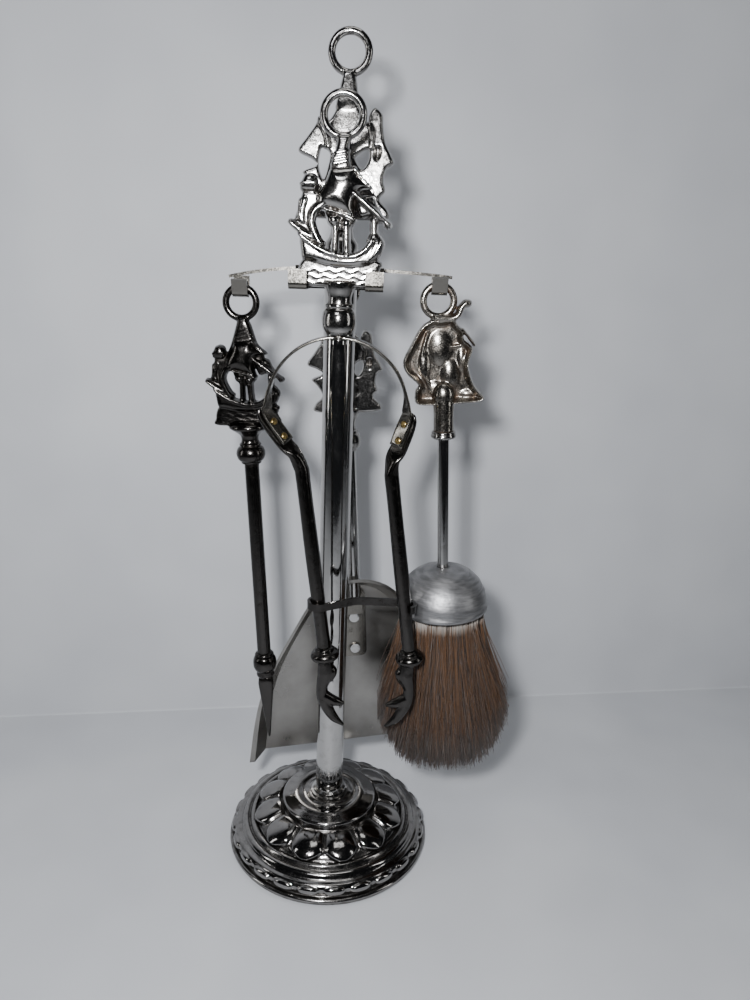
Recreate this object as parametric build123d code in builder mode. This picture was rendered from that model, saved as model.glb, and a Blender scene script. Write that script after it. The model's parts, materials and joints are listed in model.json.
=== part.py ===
"""Fireplace tool set: a round base and column that hold a poker, brush, shovel and tongs with ship handles.

Millimetres. The origin is the centre of the felt under the base, Z is up and the tongs hang at the front (-Y).
"""
import os
from math import atan2, cos, degrees, radians, sin

from build123d import *

os.makedirs("parts", exist_ok=True)

# Base and column
base_radius = 63.5
felt_radius = 61.0
felt_thickness = 1.5
base_top = 31.5
boss_bottom = 9.0
oval_count = 24
petal_count = 12
column_radius = 8.5
column_bore = 7.0
column_top = 353.0
tie_rod_radius = 3.0
tie_rod_hole = 3.2
tie_rod_bottom = 2.2
tie_rod_top = 370.0

# Bent strips of the hanger
strip_thickness = 1.6
strip_width = 8.0
bar_half_length = 57.5
bar_flat_half = 11.0
left_bar_end = 348.1
right_bar_end = 351.7
hook_x = 51.0
hook_bend = 3.15
hook_flare = 22.0
fork_gap_half = 13.8
fork_half_width = 22.3
fork_level = 345.1
fork_front = -42.2
fork_tip = 353.5

# Rings and castings
ring_radius = 7.87
ring_tube = 1.87
big_ring_radius = 9.0
big_ring_tube = 1.8
ship_depth = 8.0

# Tools
rod_radius = 4.0
brush_rod_radius = 3.2
poker_lean = 3.0
brush_lean = 3.4
shovel_lean = 3.6
pan_turn = 10.0
pan_sheet = 1.2
pan_flange = 14.0
pan_splay = 8.0
dome_radius = 26.0

# Tongs
tongs_y = -31.0
crown_z = 322.0
arch_radius = 35.2
link_z = 178.0
link_height = 4.2
link_bend = 5.5


def tool_face(x, y, z, lean=0.0):
    """Upright plane of a hanging tool: local x to the right, local y up its rod, normal to the front."""
    tilt = radians(lean)
    return Plane(origin=(x, y, z), x_dir=(cos(tilt), 0, sin(tilt)), z_dir=(0, -1, 0))


def rod_axis(face):
    return Axis(face.origin, face.y_dir)


def ship_outline(half_width, height, keel, facing=1):
    """Galleon in side view with its keel at the given height; the bow points to local +x when facing is 1."""
    def at(x, y):
        return (facing * x * half_width, keel + y * height)

    with BuildSketch() as ship:
        Polygon(at(-0.92, 0.43), at(-0.79, 0.23), at(-0.62, -0.03), at(0.62, -0.03), at(0.83, 0.09),
                at(0.96, 0.24), at(0.58, 0.19), at(0.17, 0.12), at(-0.25, 0.16), at(-0.58, 0.28), align=None)
        Polygon(at(-0.19, 1.0), at(0.24, 1.0), at(0.57, 0.8), at(0.38, 0.69), at(0.29, 0.46),
                at(-0.28, 0.46), at(-0.42, 0.73), align=None)
        Polygon(at(-0.74, 0.69), at(-0.34, 0.69), at(-0.3, 0.58), at(-0.45, 0.48), at(-0.31, 0.2),
                at(-0.81, 0.35), align=None)
        Polygon(at(-0.75, 0.66), at(-0.45, 0.66), at(-0.42, 0.93), at(-0.68, 0.95), align=None)
        Polygon(at(0.3, 0.8), at(0.42, 0.74), at(1.02, 0.5), at(0.96, 0.4), at(0.62, 0.46),
                at(0.3, 0.6), align=None)
        Polygon(at(0.52, 0.52), at(0.72, 0.5), at(0.74, 0.1), at(0.56, 0.1), align=None)
        Polygon(at(-0.08, 0.5), at(0.18, 0.5), at(0.18, 0.08), at(-0.08, 0.08), align=None)
    return ship.sketch


# ---------------------------------------------------------------- stand

with BuildPart() as felt_pad:
    Cylinder(felt_radius, felt_thickness, align=(Align.CENTER, Align.CENTER, Align.MIN))
felt_pad.part.label = "felt_pad"
export_step(felt_pad.part, "parts/felt_pad.step")

# One raised oval of the rim band and one petal of the dome, both repeated round the base
oval_length, oval_height = 11.5, 4.2
with BuildPart() as rim_oval:
    with BuildSketch(Plane.YZ.offset(57.0)):
        with Locations((0, 8.5)):
            SlotOverall(oval_length, oval_height)
    extrude(amount=5.0)

petal_place = Pos(38.6, 0, 20.7) * Rot(0, 25, 0)
with BuildPart() as petal:
    Cone(bottom_radius=7.6, top_radius=4.4, height=4.2)

with BuildPart() as base_casting:
    with BuildSketch(Plane.XZ):
        with BuildLine():
            Polyline((tie_rod_hole, boss_bottom), (tie_rod_hole, base_top), (22.6, base_top), (22.9, base_top - 0.5),
                     (24.5, base_top - 0.5), (25.0, 30.2), (29.6, 29.2), (29.6, 24.6), (31.0, 24.2))
            ThreePointArc((31.0, 24.2), (40.5, 21.6), (46.0, 16.8))
            ThreePointArc((46.0, 16.8), (48.6, 17.2), (50.6, 15.2))
            ThreePointArc((50.6, 15.2), (53.6, 15.6), (55.8, 12.6))
            Line((55.8, 12.6), (57.6, 12.2))
            ThreePointArc((57.6, 12.2), (61.0, 8.8), (60.8, 5.4))
            Polyline((60.8, 5.4), (62.6, 5.0))
            ThreePointArc((62.6, 5.0), (base_radius, 3.2), (62.8, felt_thickness))
            Polyline((62.8, felt_thickness), (59.0, felt_thickness), (56.0, 7.5), (45.0, 13.0), (31.5, 20.0),
                     (27.0, 27.0), (10.0, 28.0), (10.0, boss_bottom), (tie_rod_hole, boss_bottom))
        make_face()
    revolve(axis=Axis.Z)
    for turn in range(oval_count):
        add(rim_oval.part.rotate(Axis.Z, turn * 360 / oval_count))
    for turn in range(petal_count):
        add((petal_place * petal.part).rotate(Axis.Z, (turn + 0.5) * 360 / petal_count))
base_casting.part.label = "base_casting"
export_step(base_casting.part, "parts/base_casting.step")

washer_thickness = 1.5
with BuildPart() as base_washer:
    with Locations((0, 0, boss_bottom - washer_thickness)):
        Cylinder(9.5, washer_thickness, align=(Align.CENTER, Align.CENTER, Align.MIN))
        Cylinder(tie_rod_hole, washer_thickness, align=(Align.CENTER, Align.CENTER, Align.MIN), mode=Mode.SUBTRACT)
base_washer.part.label = "base_washer"
export_step(base_washer.part, "parts/base_washer.step")

nut_height, nut_across_flats = 5.0, 10.0
with BuildPart() as base_nut:
    with BuildSketch(Plane.XY.offset(boss_bottom - washer_thickness - nut_height)):
        RegularPolygon(nut_across_flats / 2, 6, major_radius=False)
        Circle(tie_rod_radius, mode=Mode.SUBTRACT)
    extrude(amount=nut_height)
base_nut.part.label = "base_nut"
export_step(base_nut.part, "parts/base_nut.step")

with BuildPart() as tie_rod:
    with Locations((0, 0, tie_rod_bottom)):
        Cylinder(tie_rod_radius, tie_rod_top - tie_rod_bottom, align=(Align.CENTER, Align.CENTER, Align.MIN))
tie_rod.part.label = "tie_rod"
export_step(tie_rod.part, "parts/tie_rod.step")

with BuildPart() as column_tube:
    with BuildSketch(Plane.XY.offset(base_top)):
        Circle(column_radius)
        Circle(column_bore, mode=Mode.SUBTRACT)
    extrude(amount=column_top - base_top)
column_tube.part.label = "column_tube"
export_step(column_tube.part, "parts/column_tube.step")

with BuildPart() as foot_collar:
    with BuildSketch(Plane.XZ):
        with BuildLine():
            Polyline((column_radius, base_top), (11.4, base_top), (11.4, base_top + 1.6), (10.2, base_top + 2.0),
                     (10.2, base_top + 3.6), (column_radius, base_top + 4.4), close=True)
        make_face()
    revolve(axis=Axis.Z)
foot_collar.part.label = "foot_collar"
export_step(foot_collar.part, "parts/foot_collar.step")

# The bar is one bent strip across the column top, with an upturned hook in front of each end
bar_level = column_top + strip_thickness / 2
with BuildPart() as hanger_bar:
    with BuildSketch(Plane.XZ):
        with BuildLine():
            Line((-bar_flat_half, bar_level), (bar_flat_half, bar_level))
            TangentArc((bar_flat_half, bar_level), (bar_half_length, right_bar_end), tangent=(1, 0))
            TangentArc((-bar_flat_half, bar_level), (-bar_half_length, left_bar_end), tangent=(-1, 0))
        trace(line_width=strip_thickness)
    extrude(amount=strip_width / 2, both=True)
    for side, bar_end in ((-1, left_bar_end), (1, right_bar_end)):
        bend_z = bar_end - 6.1 if side < 0 else bar_end - 5.0
        back_y = -strip_width / 2 + strip_thickness / 2
        with BuildSketch(Plane.YZ.offset(side * hook_x)):
            with BuildLine():
                leg = Line((back_y, bar_end + 0.6), (back_y, bend_z))
                bend = JernArc(start=leg @ 1, tangent=(0, -1), radius=hook_bend, arc_size=hook_flare - 180)
                Line(bend @ 1, bend @ 1 + (bend % 1) * 6.6)
            trace(line_width=strip_thickness)
        extrude(amount=strip_width / 2, both=True)
    with Locations((0, 0, bar_level)):
        Cylinder(tie_rod_hole, 3 * strip_thickness, mode=Mode.SUBTRACT)
hanger_bar.part.label = "hanger_bar"
export_step(hanger_bar.part, "parts/hanger_bar.step")

# The fork lies on the bar: two upturned prongs for the tongs in front, a hook for the shovel at the back
fork_hub_level = column_top + 1.5 * strip_thickness
shovel_bend_z = 348.8
shovel_leg_y = 19.35
with BuildPart() as hanger_fork:
    with BuildSketch(Plane.YZ):
        with BuildLine():
            FilletPolyline((8.0, fork_hub_level), (-11.0, fork_hub_level), (-16.5, fork_level),
                           (fork_front, fork_level), (fork_front, fork_tip), radius=2.2)
        trace(line_width=strip_thickness)
    extrude(amount=fork_half_width, both=True)
    with Locations((0, -34.5, fork_level)):
        Box(2 * fork_gap_half, 30, 30, mode=Mode.SUBTRACT)
    with Locations((fork_half_width + 9.0, 0, fork_hub_level), (-fork_half_width - 9.0, 0, fork_hub_level)):
        Box(2 * fork_half_width, 24.0, 6 * strip_thickness, mode=Mode.SUBTRACT)
    with BuildSketch(Plane.YZ):
        with BuildLine():
            reach = FilletPolyline((6.0, fork_hub_level), (shovel_leg_y, fork_hub_level),
                                   (shovel_leg_y, shovel_bend_z), radius=2.2)
            bend = JernArc(start=reach @ 1, tangent=(0, -1), radius=hook_bend, arc_size=180 - hook_flare)
            Line(bend @ 1, bend @ 1 + (bend % 1) * 6.6)
        trace(line_width=strip_thickness)
    extrude(amount=strip_width / 2, both=True)
    with Locations((0, 0, fork_hub_level)):
        Cylinder(tie_rod_hole, 3 * strip_thickness, mode=Mode.SUBTRACT)
hanger_fork.part.label = "hanger_fork"
export_step(hanger_fork.part, "parts/hanger_fork.step")

# The big castings, on the column and on the tongs, stand on a neck and a ball
big_half_width, big_height = 23.8, 43.0
plinth_bottom, plinth_top = -74.6, -62.0
finial_ring = Plane(origin=(1.6, 0, 453.2), x_dir=(1, 0, 0), z_dir=(0, -1, 0))
finial_foot = column_top + 2 * strip_thickness
finial_neck = finial_ring.origin.Z + plinth_bottom
with BuildPart() as finial_ship:
    with BuildSketch(finial_ring):
        add(ship_outline(big_half_width, big_height, plinth_top + 1.5, facing=-1))
    extrude(amount=ship_depth / 2, both=True)
    with BuildSketch(finial_ring):
        Polygon((-19.5, plinth_top + 3), (18.5, plinth_top + 3), (18.0, plinth_bottom), (-18.5, plinth_bottom),
                align=None)
        Polygon((-2.2, -8.4), (2.2, -8.4), (4.8, -20.0), (-4.8, -20.0), align=None)
    extrude(amount=ship_depth / 2 - 0.6, both=True)
    with Locations(finial_ring.location):
        Torus(big_ring_radius, big_ring_tube)
    with BuildSketch(Plane.XZ):
        with BuildLine():
            Line((0, finial_neck + 3), (7.2, finial_neck + 3))
            ThreePointArc((7.2, finial_neck + 3), (5.8, finial_neck - 3), (6.4, finial_neck - 8.5))
            ThreePointArc((6.4, finial_neck - 8.5), (8.6, finial_neck - 14.5), (6.6, finial_neck - 20.0))
            Polyline((6.6, finial_neck - 20.0), (7.6, finial_foot), (0, finial_foot), (0, finial_neck + 3))
        make_face()
    revolve(axis=Axis.Z)
    with Locations((0, 0, finial_foot)):
        Cylinder(tie_rod_radius, tie_rod_top - finial_foot, align=(Align.CENTER, Align.CENTER, Align.MIN),
                 mode=Mode.SUBTRACT)
finial_ship.part.label = "finial_ship"
export_step(finial_ship.part, "parts/finial_ship.step")


# ---------------------------------------------------------------- poker

small_half_width, small_height = 21.5, 38.0
poker_face = tool_face(-51.0, -6.35, 335.35, poker_lean)
poker_axis = rod_axis(poker_face)
cup_top, cup_neck, ball_low = -64.0, -72.0, -85.5

with BuildPart() as poker_handle:
    with BuildSketch(poker_face):
        add(ship_outline(small_half_width, small_height, cup_top + 6.0))
        Polygon((-15.5, cup_top + 7), (15.5, cup_top + 7), (12.5, cup_top - 1), (-12.5, cup_top - 1), align=None)
        Polygon((-2.2, -7.4), (2.2, -7.4), (4.6, -21.0), (-4.6, -21.0), align=None)
    extrude(amount=ship_depth / 2, both=True)
    with Locations(poker_face.location):
        Torus(ring_radius, ring_tube)
    with BuildSketch(poker_face):
        with BuildLine():
            Polyline((0, cup_top), (9.2, cup_top), (9.2, cup_top - 1.6))
            ThreePointArc((9.2, cup_top - 1.6), (5.4, cup_top - 4.4), (4.1, cup_neck))
            Polyline((4.1, cup_neck), (5.2, cup_neck - 2.2), (0, cup_neck - 2.2), (0, cup_top))
        make_face()
    revolve(axis=poker_axis)
poker_handle.part.label = "poker_handle"
export_step(poker_handle.part, "parts/poker_handle.step")

with BuildPart() as poker_collar:
    with BuildSketch(poker_face):
        with BuildLine():
            Line((0, cup_neck - 2.2), (5.2, cup_neck - 2.2))
            Line((5.2, cup_neck - 2.2), (4.8, cup_neck - 3.0))
            ThreePointArc((4.8, cup_neck - 3.0), (7.6, cup_neck - 7.5), (4.8, ball_low + 1.6))
            Polyline((4.8, ball_low + 1.6), (5.6, ball_low), (0, ball_low), (0, cup_neck - 2.2))
        make_face()
    revolve(axis=poker_axis)
poker_collar.part.label = "poker_collar"
export_step(poker_collar.part, "parts/poker_collar.step")

knob_top, knob_low, tip_low = -202.5, -218.0, -261.0
with BuildPart() as poker_rod:
    with BuildSketch(poker_face):
        with Locations((rod_radius / 2, (ball_low + knob_top) / 2)):
            Rectangle(rod_radius, ball_low - knob_top)
    revolve(axis=poker_axis)
poker_rod.part.label = "poker_rod"
export_step(poker_rod.part, "parts/poker_rod.step")

with BuildPart() as poker_knob:
    with BuildSketch(poker_face):
        with BuildLine():
            Line((0, knob_top), (5.0, knob_top))
            ThreePointArc((5.0, knob_top), (7.0, knob_top - 6.0), (4.6, knob_top - 11.6))
            Polyline((4.6, knob_top - 11.6), (5.0, knob_low), (0, knob_low), (0, knob_top))
        make_face()
    revolve(axis=poker_axis)
poker_knob.part.label = "poker_knob"
export_step(poker_knob.part, "parts/poker_knob.step")

with BuildPart() as poker_tip:
    with BuildSketch(poker_face):
        Polygon((-3.6, knob_low), (3.6, knob_low), (4.6, knob_low - 5), (0.7, tip_low), (-0.7, tip_low),
                (-4.6, knob_low - 5), align=None)
    extrude(amount=2.8, both=True)
    chamfer(poker_tip.faces().sort_by(Axis.Y)[0].edges().sort_by(Axis.Z)[:1], length=1.0)
poker_tip.part.label = "poker_tip"
export_step(poker_tip.part, "parts/poker_tip.step")


# ---------------------------------------------------------------- brush

brush_face = tool_face(53.9, -6.35, 340.25, brush_lean)
brush_axis = rod_axis(brush_face)
brush_ring_offset = -2.9
socket_top, socket_low = -53.0, -70.5
dome_top, dome_rim = -147.5, -171.0
tuft_length, bristle_low = 5.0, -274.0

with BuildPart() as brush_handle:
    with BuildSketch(brush_face):
        Polygon((-6.5, -9.5), (-15.5, -14.5), (-20.5, -24.0), (-20.0, -31.0), (-15.0, -38.0), (-13.5, socket_top),
                (19.0, socket_top), (22.8, -51.0), (21.5, -46.0), (18.0, -40.0), (15.0, -27.0), (18.5, -23.5),
                (13.5, -19.0), (12.0, -12.5), (10.5, -4.5), (5.0, -8.0), align=None)
    extrude(amount=ship_depth / 2 - 1, both=True)
    with BuildSketch(brush_face.offset(-1.2)):
        Polygon((-14.5, -18.0), (-17.0, -28.0), (-11.5, -38.0), (-9.5, -46.0), (14.0, -46.0), (11.5, -24.0),
                (7.5, -16.0), (-6.0, -14.5), align=None)
    extrude(amount=ship_depth, mode=Mode.SUBTRACT)
    with Locations(brush_face.location * Pos(brush_ring_offset, 0, 0)):
        Torus(ring_radius, ring_tube)
    with BuildSketch(brush_face):
        with BuildLine():
            Polyline((0, socket_top + 5.0), (0, socket_top), (brush_rod_radius, socket_top),
                     (brush_rod_radius, socket_low), (6.5, socket_low), (6.5, socket_top - 1.0))
            ThreePointArc((6.5, socket_top - 1.0), (4.8, socket_top + 3.4), (0, socket_top + 5.0))
        make_face()
    revolve(axis=brush_axis)
brush_handle.part.label = "brush_handle"
export_step(brush_handle.part, "parts/brush_handle.step")

with BuildPart() as brush_socket_ring:
    with BuildSketch(brush_face):
        with Locations(((brush_rod_radius + 7.0) / 2, socket_low - 0.9)):
            Rectangle(7.0 - brush_rod_radius, 1.8)
    revolve(axis=brush_axis)
brush_socket_ring.part.label = "brush_socket_ring"
export_step(brush_socket_ring.part, "parts/brush_socket_ring.step")

brush_rod_low = dome_top - 10.0
with BuildPart() as brush_rod:
    with BuildSketch(brush_face):
        with Locations((brush_rod_radius / 2, (socket_top + brush_rod_low) / 2)):
            Rectangle(brush_rod_radius, socket_top - brush_rod_low)
    revolve(axis=brush_axis)
brush_rod.part.label = "brush_rod"
export_step(brush_rod.part, "parts/brush_rod.step")

with BuildPart() as brush_dome:
    with BuildSketch(brush_face):
        with BuildLine():
            ThreePointArc((dome_radius, dome_rim), (19.0, dome_rim + 16.8), (4.0, dome_top))
            Polyline((4.0, dome_top), (brush_rod_radius, dome_top), (brush_rod_radius, brush_rod_low),
                     (0, brush_rod_low), (0, dome_rim + 2), (dome_radius - 2, dome_rim + 2),
                     (dome_radius - 1.5, dome_rim - 1.5), (dome_radius, dome_rim - 1.5), (dome_radius, dome_rim))
        make_face()
    revolve(axis=brush_axis)
brush_dome.part.label = "brush_dome"
export_step(brush_dome.part, "parts/brush_dome.step")

tuft_top = dome_rim + 2
tuft_plane = Plane(origin=brush_face.from_local_coords((0, tuft_top, 0)), x_dir=brush_face.x_dir,
                   z_dir=-brush_face.y_dir)
with BuildPart() as brush_tufts:
    with BuildSketch(tuft_plane):
        with PolarLocations(19.0, 11):
            Circle(3.4)
        with PolarLocations(9.5, 6):
            Circle(3.4)
        Circle(3.4)
    extrude(amount=tuft_length)
brush_tufts.part.label = "brush_tufts"
export_step(brush_tufts.part, "parts/brush_tufts.step")

with BuildPart() as brush_bristles:
    with BuildSketch(tuft_plane.offset(tuft_length)):
        Ellipse(23.0, 17.5)
    with BuildSketch(tuft_plane.offset(tuft_top - bristle_low)):
        Ellipse(39.0, 18.0)
    loft()
brush_bristles.part.label = "brush_bristles"
export_step(brush_bristles.part, "parts/brush_bristles.step")


# ---------------------------------------------------------------- shovel

shovel_face = tool_face(0, 22.5, 342.15, shovel_lean)
shovel_axis = rod_axis(shovel_face)
shovel_cup, shovel_ball_low = -68.0, -90.0
shovel_rod_low = -184.0

with BuildPart() as shovel_handle:
    with BuildSketch(shovel_face):
        add(ship_outline(small_half_width, small_height, shovel_cup + 4.0, facing=-1))
        Polygon((-18.5, shovel_cup + 5), (18.5, shovel_cup + 5), (15.0, shovel_cup), (-15.0, shovel_cup), align=None)
        Polygon((-2.2, -7.4), (2.2, -7.4), (4.6, -27.0), (-4.6, -27.0), align=None)
    extrude(amount=ship_depth / 2, both=True)
    with Locations(shovel_face.location):
        Torus(ring_radius, ring_tube)
    with BuildSketch(shovel_face):
        with BuildLine():
            Line((0, shovel_cup + 1), (8.4, shovel_cup + 1))
            ThreePointArc((8.4, shovel_cup + 1), (5.2, shovel_cup - 4), (4.4, shovel_cup - 10))
            Polyline((4.4, shovel_cup - 10), (0, shovel_cup - 10), (0, shovel_cup + 1))
        make_face()
    revolve(axis=shovel_axis)
shovel_handle.part.label = "shovel_handle"
export_step(shovel_handle.part, "parts/shovel_handle.step")

with BuildPart() as shovel_collar:
    with BuildSketch(shovel_face):
        with BuildLine():
            Polyline((0, shovel_cup - 10), (5.0, shovel_cup - 10), (4.8, shovel_cup - 11.2))
            ThreePointArc((4.8, shovel_cup - 11.2), (7.6, shovel_cup - 16), (4.8, shovel_ball_low + 1.2))
            Polyline((4.8, shovel_ball_low + 1.2), (5.0, shovel_ball_low), (0, shovel_ball_low), (0, shovel_cup - 10))
        make_face()
    revolve(axis=shovel_axis)
shovel_collar.part.label = "shovel_collar"
export_step(shovel_collar.part, "parts/shovel_collar.step")

with BuildPart() as shovel_rod:
    with BuildSketch(shovel_face):
        with Locations((rod_radius / 2, (shovel_ball_low + shovel_rod_low) / 2)):
            Rectangle(rod_radius, shovel_ball_low - shovel_rod_low)
    revolve(axis=shovel_axis)
shovel_rod.part.label = "shovel_rod"
export_step(shovel_rod.part, "parts/shovel_rod.step")

# The pan is turned a little about the rod. Its floor lies behind the rod, its flange comes forward.
pan_face = Plane(origin=shovel_face.origin, x_dir=shovel_face.x_dir.rotate(shovel_axis, pan_turn),
                 z_dir=shovel_face.z_dir.rotate(shovel_axis, pan_turn))
strap_thickness = 2.0
floor_front = rod_radius + strap_thickness
pan_top, pan_low = -178.0, -291.0
strap_low = -228.0
rivet_heights = (-200.2, -222.0)


def pan_outline(spread, below=0.0):
    """Bell-shaped pan, wider than its floor by the spread; below carries it past the open edge."""
    with BuildSketch() as outline:
        with BuildLine():
            right = Spline((0, pan_top + spread), (29.0 + spread, pan_top - 19.0), (50.0 + spread, -234.0),
                           (64.5 + spread, pan_low - below), tangents=((1, 0), (0.18, -1)))
            mirror(right, about=Plane.YZ)
            Line((64.5 + spread, pan_low - below), (-64.5 - spread, pan_low - below))
        make_face()
    return outline.sketch


with BuildPart() as shovel_pan:
    with BuildSketch(pan_face.offset(-floor_front - pan_sheet)):
        add(pan_outline(0))
    with BuildSketch(pan_face.offset(pan_flange - floor_front - pan_sheet)):
        add(pan_outline(pan_splay))
    loft()
    with BuildSketch(pan_face.offset(-floor_front)):
        add(pan_outline(-pan_sheet, below=8))
    with BuildSketch(pan_face.offset(pan_flange + 1.0 - floor_front)):
        add(pan_outline(pan_splay - pan_sheet + 0.4, below=8))
    loft(mode=Mode.SUBTRACT)
    with BuildSketch(pan_face):
        with Locations((rod_radius / 2, (shovel_ball_low + shovel_rod_low) / 2)):
            Rectangle(rod_radius, shovel_ball_low - shovel_rod_low)
    revolve(axis=shovel_axis, mode=Mode.SUBTRACT)
shovel_pan.part.label = "shovel_pan"
export_step(shovel_pan.part, "parts/shovel_pan.step")

with BuildPart() as shovel_bracket:
    with BuildSketch(pan_face.offset(-rod_radius)):
        with Locations((0, (pan_top - 4 + strap_low) / 2)):
            RectangleRounded(15.0, pan_top - 4 - strap_low, 4.0)
    extrude(amount=-strap_thickness)
    with BuildSketch(pan_face):
        with Locations((0, pan_top - 11.5)):
            Rectangle(10.0, 14.0)
    extrude(amount=-rod_radius)
    with BuildSketch(pan_face):
        with Locations((rod_radius / 2, (shovel_ball_low + shovel_rod_low) / 2)):
            Rectangle(rod_radius, shovel_ball_low - shovel_rod_low)
    revolve(axis=shovel_axis, mode=Mode.SUBTRACT)
    with Locations(*[pan_face.location * Pos(0, height, 0) for height in rivet_heights]):
        Cylinder(2.0, 4 * rod_radius, mode=Mode.SUBTRACT)
shovel_bracket.part.label = "shovel_bracket"
export_step(shovel_bracket.part, "parts/shovel_bracket.step")

with BuildPart() as shovel_rivets:
    for height in rivet_heights:
        with BuildSketch(pan_face.offset(-floor_front)):
            with Locations((0, height)):
                Circle(2.0)
        extrude(amount=strap_thickness)
        with BuildSketch(pan_face.offset(-rod_radius)):
            with Locations((0, height)):
                Circle(3.2)
        extrude(amount=1.2)
shovel_rivets.part.label = "shovel_rivets"
export_step(shovel_rivets.part, "parts/shovel_rivets.step")


# ---------------------------------------------------------------- tongs

tongs_face = tool_face(1.3, tongs_y, 420.8)
tongs_axis = rod_axis(tongs_face)
tongs_neck = plinth_bottom
ball_bottom = crown_z + 1.5 - tongs_face.origin.Z
with BuildPart() as tongs_handle:
    with BuildSketch(tongs_face):
        add(ship_outline(big_half_width, big_height, plinth_top))
        Polygon((-2.4, -8.6), (2.4, -8.6), (4.8, -21.0), (-4.8, -21.0), align=None)
    extrude(amount=ship_depth / 2, both=True)
    with BuildSketch(tongs_face):
        Polygon((-17.5, plinth_top + 3), (17.5, plinth_top + 3), (18.5, plinth_bottom), (-19.5, plinth_bottom),
                align=None)
    extrude(amount=ship_depth / 2, both=True)
    with Locations(tongs_face.location):
        Torus(big_ring_radius, big_ring_tube)
    with BuildSketch(tongs_face):
        with BuildLine():
            Line((0, tongs_neck + 3), (7.6, tongs_neck + 3))
            ThreePointArc((7.6, tongs_neck + 3), (6.2, tongs_neck - 3), (5.8, tongs_neck - 8.0))
            Polyline((5.8, tongs_neck - 8.0), (0, tongs_neck - 8.0), (0, tongs_neck + 3))
        make_face()
    revolve(axis=tongs_axis)
tongs_handle.part.label = "tongs_handle"
export_step(tongs_handle.part, "parts/tongs_handle.step")

with BuildPart() as tongs_ball:
    with BuildSketch(tongs_face):
        with BuildLine():
            Polyline((0, tongs_neck - 8.0), (6.8, tongs_neck - 8.0), (6.8, tongs_neck - 9.6))
            ThreePointArc((6.8, tongs_neck - 9.6), (8.5, tongs_neck - 15.0), (6.6, ball_bottom))
            Polyline((6.6, ball_bottom), (0, ball_bottom), (0, tongs_neck - 8.0))
        make_face()
    revolve(axis=tongs_axis)
tongs_ball.part.label = "tongs_ball"
export_step(tongs_ball.part, "parts/tongs_ball.step")

# The stud holds both spring halves under the ball
stud_radius, stud_head = 1.8, 4.2
stud_low = -strip_thickness / 2 - 0.6
crown_face = tool_face(tongs_face.origin.X, tongs_y, crown_z)
with BuildPart() as crown_stud:
    with BuildSketch(crown_face):
        with Locations((stud_radius / 2, (1.5 + stud_low) / 2)):
            Rectangle(stud_radius, 1.5 - stud_low)
        with Locations((stud_head / 2, stud_low - 0.9)):
            Rectangle(stud_head, 1.8)
    revolve(axis=rod_axis(crown_face))
crown_stud.part.label = "crown_stud"
export_step(crown_stud.part, "parts/crown_stud.step")

# Each arm is a spring half, a flattened leaf riveted outside it, and a round rod down to a claw.
# Places are measured from the crown: across, and up.
leaf_thickness = 1.8
leaf_gap = (strip_thickness + leaf_thickness) / 2
shoulder_drop = -arch_radius
arm_sides = {
    "left": {"sign": -1, "spring_end": (-24.8, -53.5), "rod_top": (-18.4, -61.5), "rod_foot": (-4.0, -172.5)},
    "right": {"sign": 1, "spring_end": (30.6, -54.0), "rod_top": (28.2, -62.5), "rod_foot": (43.6, -172.5)},
}
claw_outline = ((-3.9, -4.0), (6.0, -4.0), (6.2, -15.7), (3.3, -22.3), (5.4, -27.0), (10.4, -28.8), (12.3, -32.1),
                (6.2, -33.5), (4.7, -35.9), (7.1, -40.1), (13.4, -47.1), (10.4, -48.4), (3.7, -44.8),
                (-1.3, -38.2), (-4.7, -25.1), (-3.0, -15.7))

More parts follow.
